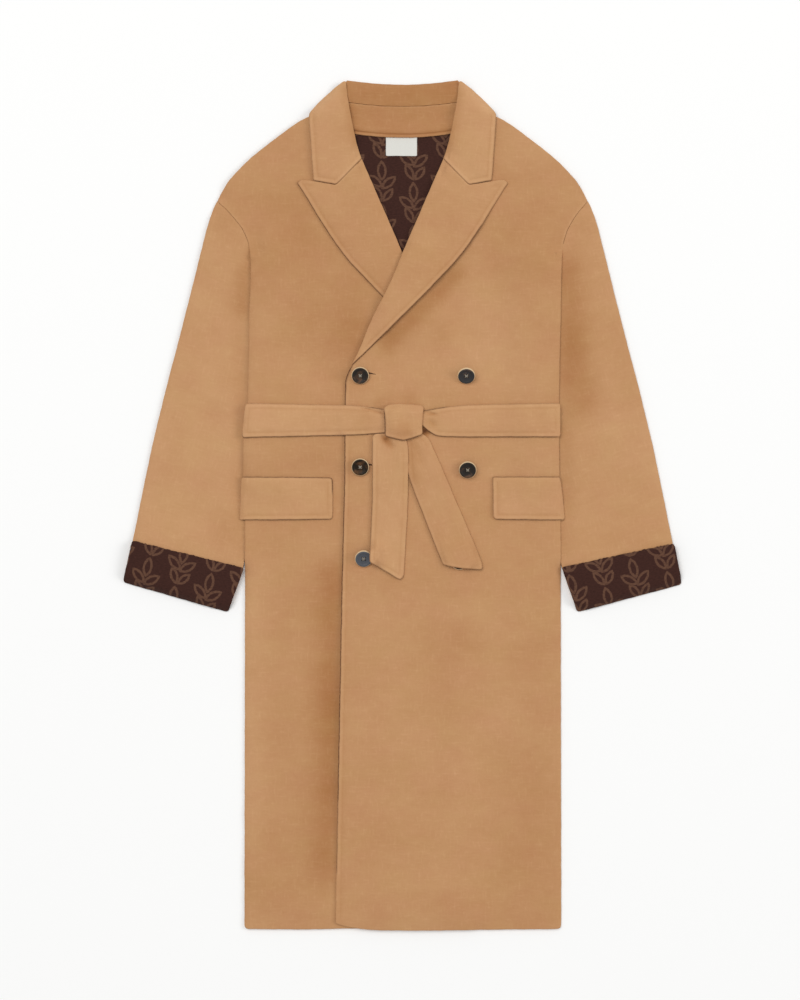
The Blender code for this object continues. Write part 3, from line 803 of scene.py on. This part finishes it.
def store(piece, name, values):
    """Keep a number or a vector for each point of a piece, for its material to read."""
    kind, key = ("FLOAT", "value") if values.ndim == 1 else ("FLOAT_VECTOR", "vector")
    layer = piece.data.attributes.new(name, kind, "POINT")
    layer.data.foreach_set(key, values.astype(np.float32).ravel())


def lay_cloth(pile, cloth, number):
    """Cut a piece, lay it on the pile and give it its finish."""
    random = np.random.default_rng(CLOTH_SEED + number)
    outline = evenly_spaced(eased(upper_outline(cloth.node)), EDGE_STEP)
    seams = stretch_sizes(cloth.node, outline, SEAMS)
    frays, bulges = (stretch_sizes(cloth.node, outline, table) for table in (FRAYS, BULGES))
    outline = wandering(outline, frays, seams, bulges, random)
    window, lower_field, upper_field, under = pile.drape(cloth, outline, seams, random)
    pressed = [stretch for stretch in PRESSED if stretch.node == cloth.node]
    rows = set(EDGE_ROWS)
    for inset in {stretch.inset for stretch in pressed}:
        rows |= {inset + k * PRESSED_WIDTH for k in (-1, 0, 1) if inset > EDGE_ROWS[-1]}
    points, triangles, on_edge = flat_cut(outline, cloth.spacing, sorted(rows))
    distance, nearest = nearest_edge(points, outline)
    distance[on_edge] = 0
    lower = pile.sampled(lower_field, window, points)
    upper = pile.sampled(upper_field, window, points)
    relief = np.zeros(len(points))
    for stretch in pressed:
        line = np.exp(-(((distance - stretch.inset) / PRESSED_WIDTH) ** 2))
        relief -= stretch.size * line * stretch_share(outline, stretch)[nearest]
    radius = stretch_sizes(cloth.node, outline, ROLLS, cloth.thick / 2)[nearest]
    bend = np.sqrt(1 - (1 - np.clip(distance / radius, 0, 1)) ** 2)
    middle, half = (upper + relief + lower) / 2, (upper + relief - lower) / 2
    piece, source = shell_object(
        f"{cloth.node}_cloth", points, triangles, on_edge, middle - half * bend, middle + half * bend
    )
    turn = math.radians(-cloth.grain)
    along = points[:, 0] * math.cos(turn) - points[:, 1] * math.sin(turn)
    across = points[:, 0] * math.sin(turn) + points[:, 1] * math.cos(turn)
    along, across = along + CUT_ALONG * number, across + CUT_ACROSS * number
    cut = np.column_stack([along, across, np.zeros(len(points))]) * MM
    store(piece, "cut", cut[source])
    rims_and_shadows = stretch_sizes(cloth.node, outline, RIMS_AND_SHADOWS)[nearest]
    # Pale band inside a dark edge: wear and a painted highlight.
    worn = PALE_BAND_TONE * np.exp(-(((distance - PALE_BAND_INSET) / PALE_BAND_WIDTH) ** 2)) * (rims_and_shadows > FAINTEST_RIM)
    # Sunken folds are drawn darker and raised ones paler: painted shade and painted light.
    crease_shade = FOLD_PAINTED_SHADE * np.clip(creased(cloth.node, points[:, 0], points[:, 1]), *FOLD_RANGE)
    # The tone adds the painted shade and light of patches, bands, folds and pressed lines to the nap's
    # own.
    tone = cloth.tone + nap_light_and_shade(cloth.node, points) + worn + crease_shade + PRESS_PAINTED_SHADE * relief
    # The dark rim: the brown of the cut edge and painted contact shadow.
    reach = DARK_EDGE_AND_SHADOW_REACH * np.maximum(rims_and_shadows, 1)
    dark = np.clip(RIM_FALL - RIM_FALL * distance / reach, 0, 1) * np.minimum(rims_and_shadows, 1)
    store(piece, "tone", tone[source])
    # Below -1 the painted shade becomes painted shadow as dark as the cut edge.
    store(piece, "rim", np.maximum(dark, np.clip(-1 - tone, 0, 1))[source])
    piece.data.materials.append(FINISHES[cloth.finish])
    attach(piece, "root")
    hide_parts(cloth.node)


# Buttons

def joined(name, parts):
    """One mesh object from several lists of points and faces."""
    vertices, faces = [], []
    for points, corners in parts:
        faces += [[index + len(vertices) for index in face] for face in corners]
        vertices += [tuple(point) for point in points]
    shape = bpy.data.meshes.new(name)
    shape.from_pydata((np.array(vertices) * MM).tolist(), [], faces)
    shape.validate()
    shape.shade_smooth()
    return placed(name, shape)


def circle(middle, radius, sides):
    """Points at equal steps round a circle."""
    angles = 2 * math.pi * np.arange(sides) / sides
    return np.stack([np.cos(angles), np.sin(angles)], axis=1) * radius + middle


def thread_tube(path, radius, sides=7):
    """A thin round thread along some points."""
    path = np.array(path, float)
    along = np.gradient(path, axis=0)
    along /= np.linalg.norm(along, axis=1)[:, None]
    side = np.cross(along, ASKEW)
    side /= np.linalg.norm(side, axis=1)[:, None]
    up = np.cross(side, along)
    points, faces = [], []
    for place, a, b in zip(path, side, up):
        for turn in 2 * math.pi * np.arange(sides) / sides:
            points.append(place + radius * (math.cos(turn) * a + math.sin(turn) * b))
    for ring in range(len(path) - 1):
        for k in range(sides):
            here, beside = ring * sides + k, ring * sides + (k + 1) % sides
            faces.append((here, beside, beside + sides, here + sides))
    faces.append(tuple(range(sides))[::-1])
    faces.append(tuple(range(len(points) - sides, len(points))))
    return points, faces


def tipped(points, tip, middle, seat):
    """Points of a flat button, tipped up at its upper edge and set in their place."""
    lean = math.radians(tip)
    x, y, z = np.array(points, float).T
    across = y * math.cos(lean) - z * math.sin(lean)
    up = y * math.sin(lean) + z * math.cos(lean)
    return np.column_stack([x + middle[0], across + middle[1], up + seat])


def button_plate():
    """A turned plate with a raised rim, a dished face and four bored holes."""
    holes = [np.array((a, b)) * HOLE_PLACE for a in (-1, 1) for b in (-1, 1)]
    radii = [rim.radius for rim in BUTTON_FACE[::-1] if rim.radius > BORED_RADIUS]
    rows = [circle((0, 0), radius, BUTTON_SIDES) for radius in radii]
    loops = [circle(hole, HOLE_RADIUS, HOLE_SIDES) for hole in holes]
    points = np.concatenate(rows + loops)
    edges, first = [], sum(len(row) for row in rows)
    for _ in loops:
        edges += [(first + k, first + (k + 1) % HOLE_SIDES) for k in range(HOLE_SIDES)]
        first += HOLE_SIDES
    rim = list(range(BUTTON_SIDES))
    found = delaunay_2d_cdt([Vector(p) for p in points], edges, [rim], 1, 1e-6, True)
    flat, triangles = np.array(found[0]), np.array(found[2])
    centres = flat[triangles].mean(axis=1)
    bored = np.any([np.linalg.norm(centres - hole, axis=1) < HOLE_RADIUS for hole in holes], axis=0)
    triangles = triangles[~bored]
    radius = np.linalg.norm(flat, axis=1)
    face = np.interp(radius, [r.radius for r in BUTTON_FACE], [r.height for r in BUTTON_FACE])
    base = np.interp(radius, [0, BUTTON_FLAT, BUTTON_RADIUS], [0, 0, BUTTON_UNDERSIDE])
    count = len(flat)
    vertices = np.concatenate([np.column_stack([flat, face]), np.column_stack([flat, base])])
    faces = [tuple(t) for t in triangles] + [tuple(count + i for i in t[::-1]) for t in triangles]
    directed = {(t[k], t[(k + 1) % 3]) for t in triangles.tolist() for k in range(3)}
    walls = [(b, a, a + count, b + count) for a, b in directed if (b, a) not in directed]
    return vertices, faces + walls


def button_threads(random):
    """Two crossed bars of thread through the holes, three turns each."""
    parts = []
    for bar in (-1, 1):
        for turn in (-1, 0, 1):
            start = np.array([-HOLE_PLACE, -HOLE_PLACE * bar])
            aside = np.array([bar, -1.0]) / math.sqrt(2) * THREAD_SPREAD * turn
            base = THREAD_DEPTH + (THREAD_CROSS if bar > 0 else 0.0)
            path = []
            for t in np.linspace(0, 1, THREAD_POINTS):
                flat = start * (1 - 2 * t) + aside * math.sin(math.pi * t)
                height = base + THREAD_ARCH * math.sin(math.pi * t) ** THREAD_BEND
                path.append((*flat, height))
            parts.append(thread_tube(path, THREAD_RADIUS * random.uniform(*THREAD_UNEVEN)))
    return parts


def sew_button(pile, button, number):
    """A button on the cloth and the threads that hold it."""
    random = np.random.default_rng(BUTTON_SEED + number)
    low, high = (np.array(corner[:2]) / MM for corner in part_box(button.node))
    lean = math.sin(math.radians(button.tip))
    middle = (low + high) / 2 + (0, BUTTON_EDGE * lean)
    if button.node in BUTTONHOLES:
        work_buttonhole(pile, button.node, middle)
    lift = BUTTON_FOOT * lean
    seat = lift + pile.seat(middle, BUTTON_RADIUS, BUTTON_TOP + 2 * lift, button.node)
    points, faces = button_plate()
    plate = joined(f"{button.node}_turned", [(tipped(points, button.tip, middle, seat), faces)])
    plate.data.set_sharp_from_angle(angle=SHARP_EDGE)
    store(plate, "reach", np.linalg.norm(points[:, :2], axis=1) * MM)
    store(plate, "grey", np.full(len(points), button.grey))
    plate.data.materials.append(FINISHES["horn"])
    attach(plate, "root")
    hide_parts(button.node)
    parts = [
        (tipped(path, button.tip, middle, seat), corners) for path, corners in button_threads(random)
    ]
    threads = joined(f"{button.node}_threads", parts)
    threads.data.materials.append(FINISHES["thread"])
    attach(threads, "root")


def work_buttonhole(pile, node, middle):
    """A slit closed by stitches, from under the button's edge to the end that shows past it."""
    parts = []
    for step in range(BUTTONHOLE_STITCHES):
        share = step / (BUTTONHOLE_STITCHES - 1)
        x = middle[0] + BUTTONHOLE_START + BUTTONHOLE_STEP * step
        y = middle[1] + BUTTONHOLE_RISE - BUTTONHOLE_SLANT * BUTTONHOLE_STEP * step
        half = BUTTONHOLE_HALF * (1 - BUTTONHOLE_TAPER * share**2)
        height = pile.level(x, y) + STITCH_RISE
        path = [(x, y + half * s, height - STITCH_ARCH * s * s) for s in np.linspace(-1, 1, 5)]
        parts.append(thread_tube(path, THREAD_RADIUS * (1 - STITCH_THINNING * share)))
    stitches = joined(f"{node}_buttonhole", parts)
    stitches.data.materials.append(FINISHES["twist"])
    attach(stitches, "root")


# Finishes

CAMEL_DEEP = "#A77346"
CAMEL_PALE = "#CB9D72"
# The brown of a cut edge, also the colour of painted contact shadow and of painted shadow in hollows.
CAMEL_EDGE_AND_SHADOW = "#3E1407"
CAMEL_SHEEN = "#E8C8A4"
BROWN = "#40241D"
BROWN_DEEP = "#331B15"
BROWN_FIGURE = "#664736"
BROWN_SHEEN = "#9A7860"
LABEL_WHITE = "#DFDED7"
LABEL_SHADE = "#D0CEC6"
HORN = "#231B11"
HORN_TAWNY = "#5E4028"
HORN_RIM = "#D9BD96"
HORN_GLINT = "#53565C"
THREAD_DEEP = "#675F53"
THREAD_PALE = "#A69D8D"
TWIST_DEEP = "#3A1E0C"
TWIST_PALE = "#5A3418"
PAPER_WHITE = "#FAFAF9"

# The nap of the camel wool, from its broad clouds to its fibres, in millimetres. The fibres and
# slubs are drawn coarser than they are, so that they show at this distance.
Layer = namedtuple("Layer", "name length width detail strength")
WOOL_LAYERS = [
    Layer("cloud", 210, 150, 2.0, 0.48),
    Layer("shade", 80, 56, 2.0, 0.24),
    Layer("dye", 62, 48, 2.0, 0.04),
    Layer("nap", 24, 15, 2.0, 0.20),
    Layer("slub", 15, 3.2, 1.0, 0.10),
    Layer("upright_slub", 3.2, 15, 1.0, 0.10),
    Layer("fibre", 5.0, 3.2, 3.0, 0.13),
]
SLUB_PALE = 0.08
DYE_STRAY = 0.003  # how far the dye's hue strays, in turns of the colour wheel

# Sizes of the other finishes' patterns, in millimetres
LABEL_RIB = 1.6  # drawn coarser than the real thread, so that it shows
HORN_CLOUD = 11.0  # so that each button shows one or two clouds
THREAD_TWIST = 0.7
PAPER_TOOTH = 2.5

# The figure on the inner face, in millimetres: leaves of a sprig, each an outline of two arcs
SPRIG_WIDTH = 46.0
SPRIG_HEIGHT = 62.0
SPRIG_LINE = 3.4
SPRIG_FADE = (0.38, 0.62)  # where a line starts to fade and where it is gone, as shares of its width
SPRIG_WAVER = 2.2  # how far a line strays where the threads tangle
TANGLES = 260.0  # tangles in a metre, so each is about 4 mm
WEFT_LENGTH = 4.0  # drawn coarser than the real thread, so that it shows
WEFT_WIDTH = 1.6
Leaf = namedtuple("Leaf", "x y angle half_length half_width")
LEAVES = [
    Leaf(23, 46, 92, 13, 5.4),
    Leaf(13, 31, 142, 12, 5.0),
    Leaf(33, 29, 40, 12, 5.0),
    Leaf(17, 13, 118, 11, 4.4),
    Leaf(32, 11, 52, 10, 4.2),
]


def linear(colour):
    """A colour from its sRGB hex value."""
    parts = [int(colour[i:i + 2], 16) / 255 for i in (1, 3, 5)]
    return tuple(p / 12.92 if p <= 0.04045 else ((p + 0.055) / 1.055) ** 2.4 for p in parts) + (1.0,)


def connect(node, inputs):
    """Give a node's inputs their values, or the links that feed them."""
    for socket, value in inputs.items():
        if isinstance(value, bpy.types.NodeSocket):
            node.id_data.links.new(value, node.inputs[socket])
        else:
            node.inputs[socket].default_value = value


def add(tree, kind, inputs=None, output=0, stops=(), **settings):
    """Add a node with its settings, its values and links, and a ramp's stops, each a place and a
    colour. What comes back is the output that goes on from it."""
    node = tree.nodes.new(f"ShaderNode{kind}")
    for name, value in settings.items():
        setattr(node, name, value)
    for index, (place, colour) in enumerate(stops):
        node.color_ramp.elements[index].position = place
        node.color_ramp.elements[index].color = linear(colour)
    connect(node, inputs or {})
    return node.outputs[output]


def wave_scale(spacing):
    """The scale of a wave texture whose bands are this many millimetres apart."""
    return 2 * math.pi / 20 / (spacing * MM)


def new_finish(name):
    """A new material and the tree of its nodes."""
    material = bpy.data.materials.new(name)
    material.use_nodes = True
    return material, material.node_tree


def finished(material, inputs):
    """The material, with the values and links of its shader."""
    connect(material.node_tree.nodes["Principled BSDF"], inputs)
    return material


def brushed_camel_wool():
    """Double-faced wool coating, woven, then raised and brushed: a matt, even camel with a
    cloudy nap that lies along the cloth, a faint fleck of fibres and a soft pale sheen."""
    material, tree = new_finish("brushed_camel_wool")
    cut = add(tree, "Attribute", output="Vector", attribute_name="cut")
    rim = add(tree, "Attribute", output="Fac", attribute_name="rim")
    tone = add(tree, "Attribute", output="Fac", attribute_name="tone")
    # The tone: the nap's own paleness together with painted shade and painted light.
    shade = add(tree, "Math", {0: tone, 1: 0.5, 2: 0.5}, operation="MULTIPLY_ADD")
    layers = {}
    for layer in WOOL_LAYERS:
        scale = (1 / (layer.length * MM), 1 / (layer.width * MM), 1)
        place = add(tree, "Mapping", {"Vector": cut, "Scale": scale})
        clouds = {"Vector": place, "Scale": 1.0, "Detail": layer.detail, "Roughness": 0.55}
        noise = layers[layer.name] = add(tree, "TexNoise", clouds, "Fac")
        centred = add(tree, "Math", {0: noise, 1: 0.5}, operation="SUBTRACT")
        deeper = {0: centred, 1: layer.strength, 2: shade}
        shade = add(tree, "Math", deeper, operation="MULTIPLY_ADD")
    for name in ("slub", "upright_slub"):
        fleck = add(tree, "MapRange", {"Value": layers[name], "From Min": 0.6, "From Max": 0.75})
        shade = add(tree, "Math", {0: fleck, 1: SLUB_PALE, 2: shade}, operation="MULTIPLY_ADD")
    nap = add(tree, "MixRGB", {0: shade, 1: linear(CAMEL_DEEP), 2: linear(CAMEL_PALE)})
    dye = add(tree, "MapRange", {
        "Value": layers["dye"],
        "From Min": 0.3,
        "From Max": 0.7,
        "To Min": 0.5 - DYE_STRAY,
        "To Max": 0.5 + DYE_STRAY,
    })
    nap = add(tree, "HueSaturation", {"Hue": dye, "Color": nap})
    broken = add(tree, "MapRange", {
        "Value": layers["fibre"],
        "From Min": 0.35,
        "From Max": 0.65,
        "To Min": 0.7,
        "To Max": 1.0,
    })
    # The dark rim and the deepest painted shade: the brown cut edge and painted shadow, broken up by
    # the fibres.
    edge = add(tree, "Math", {0: rim, 1: broken}, operation="MULTIPLY")
    colour = add(tree, "MixRGB", {0: edge, 1: nap, 2: linear(CAMEL_EDGE_AND_SHADOW)})
    fuzz = add(tree, "Math", {0: layers["fibre"], 1: layers["nap"]}, operation="ADD")
    return finished(material, {
        "Base Color": colour,
        "Normal": add(tree, "Bump", {"Height": fuzz, "Strength": 0.4, "Distance": 0.8 * MM}),
        "Roughness": 0.92,
        "Specular IOR Level": 0.2,
        "Sheen Weight": 0.18,
        "Sheen Roughness": 0.6,
        "Sheen Tint": linear(CAMEL_SHEEN),
    })


def brown_figured_wool():
    """The dark inner face of the coating, woven with a figure of leaf sprigs: matt chocolate
    with soft tan lines that break up a little where the threads cross."""
    material, tree = new_finish("brown_figured_wool")
    cut = add(tree, "Attribute", output="Vector", attribute_name="cut")
    tangle = add(tree, "TexNoise", {"Vector": cut, "Scale": TANGLES, "Detail": 2.0}, "Color")
    shift = add(tree, "VectorMath", {0: tangle, 1: (0.5, 0.5, 0.5)}, operation="SUBTRACT")
    shift = add(tree, "VectorMath", {0: shift, "Scale": SPRIG_WAVER * MM}, operation="SCALE")
    wavered = add(tree, "VectorMath", {0: cut, 1: shift}, operation="ADD")

    # Half-drop repeat: every other column of sprigs starts half a repeat lower.
    x, y, _ = add(tree, "SeparateXYZ", {0: wavered}).node.outputs
    column = add(tree, "Math", {0: x, 1: SPRIG_WIDTH * MM}, operation="DIVIDE")
    number = add(tree, "Math", {0: column}, operation="FLOOR")
    odd = add(tree, "Math", {0: number, 1: 2.0}, operation="FLOORED_MODULO")
    drop = add(tree, "Math", {0: odd, 1: SPRIG_HEIGHT * MM / 2}, operation="MULTIPLY")
    y = add(tree, "Math", {0: y, 1: drop}, operation="ADD")
    x = add(tree, "Math", {0: x, 1: SPRIG_WIDTH * MM}, operation="FLOORED_MODULO")
    y = add(tree, "Math", {0: y, 1: SPRIG_HEIGHT * MM}, operation="FLOORED_MODULO")
    cell = add(tree, "CombineXYZ", {0: x, 1: y})

    nearest = None
    for leaf in LEAVES:
        place, turn = (leaf.x * MM, leaf.y * MM, 0), (0, 0, math.radians(leaf.angle))
        lying = {"Vector": cell, "Location": place, "Rotation": turn}
        turned = add(tree, "Mapping", lying, vector_type="TEXTURE")
        bow = (leaf.half_length**2 + leaf.half_width**2) / (2 * leaf.half_width)
        middle = (bow - leaf.half_width) * MM
        reaches = [
            add(tree, "VectorMath", {0: turned, 1: (0, offset, 0)}, "Value", operation="DISTANCE")
            for offset in (-middle, middle)
        ]
        reach = add(tree, "Math", {0: reaches[0], 1: reaches[1]}, operation="MAXIMUM")
        away = add(tree, "Math", {0: reach, 1: bow * MM}, operation="SUBTRACT")
        away = add(tree, "Math", {0: away}, operation="ABSOLUTE")
        if nearest is None:
            nearest = away
        else:
            nearest = add(tree, "Math", {0: nearest, 1: away}, operation="MINIMUM")
    full, gone = (share * SPRIG_LINE * MM for share in SPRIG_FADE)
    fade = {"Value": nearest, "From Min": gone, "From Max": full}
    line = add(tree, "MapRange", fade, interpolation_type="SMOOTHSTEP")
    scale = (1 / (WEFT_LENGTH * MM), 1 / (WEFT_WIDTH * MM), 1)
    weft = add(tree, "Mapping", {"Vector": cut, "Scale": scale})
    threads = add(tree, "TexNoise", {"Vector": weft, "Scale": 1.0, "Detail": 3.0}, "Fac")
    worn = add(tree, "MapRange", {
        "Value": threads,
        "From Min": 0.25,
        "From Max": 0.6,
        "To Min": 0.35,
        "To Max": 0.9,
    })
    figure = add(tree, "Math", {0: line, 1: worn}, operation="MULTIPLY")
    ground = add(tree, "ValToRGB", {"Fac": threads}, stops=[(0.3, BROWN_DEEP), (0.7, BROWN)])
    relief = add(tree, "Math", {0: figure, 1: threads}, operation="ADD")
    return finished(material, {
        "Base Color": add(tree, "MixRGB", {0: figure, 1: ground, 2: linear(BROWN_FIGURE)}),
        "Normal": add(tree, "Bump", {"Height": relief, "Strength": 0.35, "Distance": 0.5 * MM}),
        "Roughness": 0.9,
        "Specular IOR Level": 0.2,
        "Sheen Weight": 0.08,
        "Sheen Roughness": 0.6,
        "Sheen Tint": linear(BROWN_SHEEN),
    })


def woven_label_tape():
    """Smooth white polyester tape: a fine twill with a slight gloss across its ribs."""
    material, tree = new_finish("woven_label_tape")
    cut = add(tree, "Attribute", output="Vector", attribute_name="cut")
    weave = {"Vector": cut, "Scale": wave_scale(LABEL_RIB), "Distortion": 0.4}
    ribs = add(tree, "TexWave", weave, "Fac")
    colour = add(tree, "ValToRGB", {"Fac": ribs}, stops=[(0, LABEL_SHADE), (1, LABEL_WHITE)])
    bump = add(tree, "Bump", {"Height": ribs, "Strength": 0.2, "Distance": 0.2 * MM})
    return finished(material, {"Base Color": colour, "Normal": bump, "Roughness": 0.6})


def polished_dark_horn():
    """Buffalo horn, turned and polished: near black with tawny clouds, paler where the rim is
    thin and worn, and a clear gloss. Some faces are washed with a blue-grey painted reflection."""
    material, tree = new_finish("polished_dark_horn")
    place = add(tree, "TexCoord", output="Object")
    growth = {"Vector": place, "Scale": 1 / (HORN_CLOUD * MM), "Detail": 2.0, "Distortion": 0.6}
    clouds = add(tree, "TexNoise", growth, "Fac")
    face = add(tree, "ValToRGB", {"Fac": clouds}, stops=[(0.50, HORN), (0.72, HORN_TAWNY)])
    # A blue-grey painted reflection over some buttons' faces.
    grey = add(tree, "Attribute", output="Fac", attribute_name="grey")
    face = add(tree, "MixRGB", {0: grey, 1: face, 2: linear(HORN_GLINT)})
    reach = add(tree, "Attribute", output="Fac", attribute_name="reach")
    fade = {"Value": reach, "From Min": HORN_EDGE * MM, "From Max": (HORN_EDGE + HORN_FADE) * MM}
    worn = add(tree, "MapRange", fade)
    colour = add(tree, "MixRGB", {0: worn, 1: face, 2: linear(HORN_RIM)})
    return finished(material, {"Base Color": colour, "Roughness": 0.42, "Specular IOR Level": 0.14})


def sewing_thread(name, deep, pale):
    """Waxed cotton thread: matt, with the slant of its twist."""
    material, tree = new_finish(name)
    place = add(tree, "TexCoord", output="Object")
    spun = {"Vector": place, "Scale": wave_scale(THREAD_TWIST), "Distortion": 1.0}
    twist = add(tree, "TexWave", spun, "Fac")
    colour = add(tree, "ValToRGB", {"Fac": twist}, stops=[(0, deep), (1, pale)])
    return finished(material, {"Base Color": colour, "Roughness": 0.7})


def white_paper():
    """Seamless studio paper: matt white with a barely visible tooth."""
    material, tree = new_finish("white_paper")
    place = add(tree, "TexCoord", output="Object")
    grain = {"Vector": place, "Scale": 1 / (PAPER_TOOTH * MM), "Detail": 2.0}
    tooth = add(tree, "TexNoise", grain, "Fac")
    bump = add(tree, "Bump", {"Height": tooth, "Strength": 0.05, "Distance": 0.2 * MM})
    white = linear(PAPER_WHITE)
    return finished(material, {"Base Color": white, "Normal": bump, "Roughness": 0.9})


FINISHES = {
    "camel": brushed_camel_wool(),
    "brown": brown_figured_wool(),
    "label": woven_label_tape(),
    "horn": polished_dark_horn(),
    "thread": sewing_thread("pale_button_thread", THREAD_DEEP, THREAD_PALE),
    "twist": sewing_thread("brown_buttonhole_twist", TWIST_DEEP, TWIST_PALE),
}


# Studio

CAMERA_LENS = 85.0
CAMERA_SENSOR = 36.0
VIEW_HEIGHT = 1.45  # metres from the top of the picture to its bottom
VIEW_MIDDLE = (-0.0036, 0.00725)
VIEW_REACH = 50.0
FLOOR_HALF = 6.0
ROOM_LIGHT = 0.52
Lamp = namedtuple("Lamp", "name place size power")
LAMPS = [
    Lamp("broad_lamp", (-3.2, 3.4, 9.6), 7.0, 540.0),
    Lamp("low_lamp", (8.5, 1.0, 5.2), 4.0, 255.0),
]


def set_camera():
    """Straight down on the coat, with the picture's long side upright."""
    lens = bpy.data.cameras.new("camera")
    lens.lens = CAMERA_LENS
    lens.sensor_width = CAMERA_SENSOR
    lens.clip_end = VIEW_REACH
    camera = placed("camera", lens)
    camera.location = (*VIEW_MIDDLE, VIEW_HEIGHT * CAMERA_LENS / CAMERA_SENSOR)
    bpy.context.scene.camera = camera


def add_lamp(lamp):
    """A square softbox that faces the coat."""
    light = bpy.data.lights.new(lamp.name, "AREA")
    light.shape = "SQUARE"
    light.size = lamp.size
    light.energy = lamp.power
    stand = placed(lamp.name, light)
    stand.location = lamp.place
    stand.rotation_euler = (-Vector(lamp.place)).to_track_quat("-Z", "Y").to_euler()


def set_light():
    """White walls all round, a broad lamp above the upper left and a weak one low on the right."""
    world = bpy.data.worlds.new("white_room")
    world.use_nodes = True
    background = world.node_tree.nodes["Background"]
    background.inputs["Color"].default_value = (1, 1, 1, 1)
    background.inputs["Strength"].default_value = ROOM_LIGHT
    bpy.context.scene.world = world
    for lamp in LAMPS:
        add_lamp(lamp)
    bpy.context.scene.view_settings.view_transform = "Standard"


def lay_floor():
    """A sheet of studio paper under the coat."""
    shape = bpy.data.meshes.new("floor")
    corners = [(-1, -1), (1, -1), (1, 1), (-1, 1)]
    shape.from_pydata([(FLOOR_HALF * x, FLOOR_HALF * y, 0) for x, y in corners], [], [(0, 1, 2, 3)])
    floor = placed("floor", shape)
    floor.data.materials.append(white_paper())


def main():
    """Set the studio, then lay the coat from the floor up: its panels, its buttons and its belt."""
    set_camera()
    set_light()
    lay_floor()
    pile = Pile()
    for number, cloth in enumerate(UNDER_LAYERS + UPPER_LAYERS):
        lay_cloth(pile, cloth, number)
    for number, button in enumerate(BUTTONS):
        sew_button(pile, button, number)
    for number, cloth in enumerate(BELT_LAYERS, len(UNDER_LAYERS + UPPER_LAYERS)):
        lay_cloth(pile, cloth, number)


main()
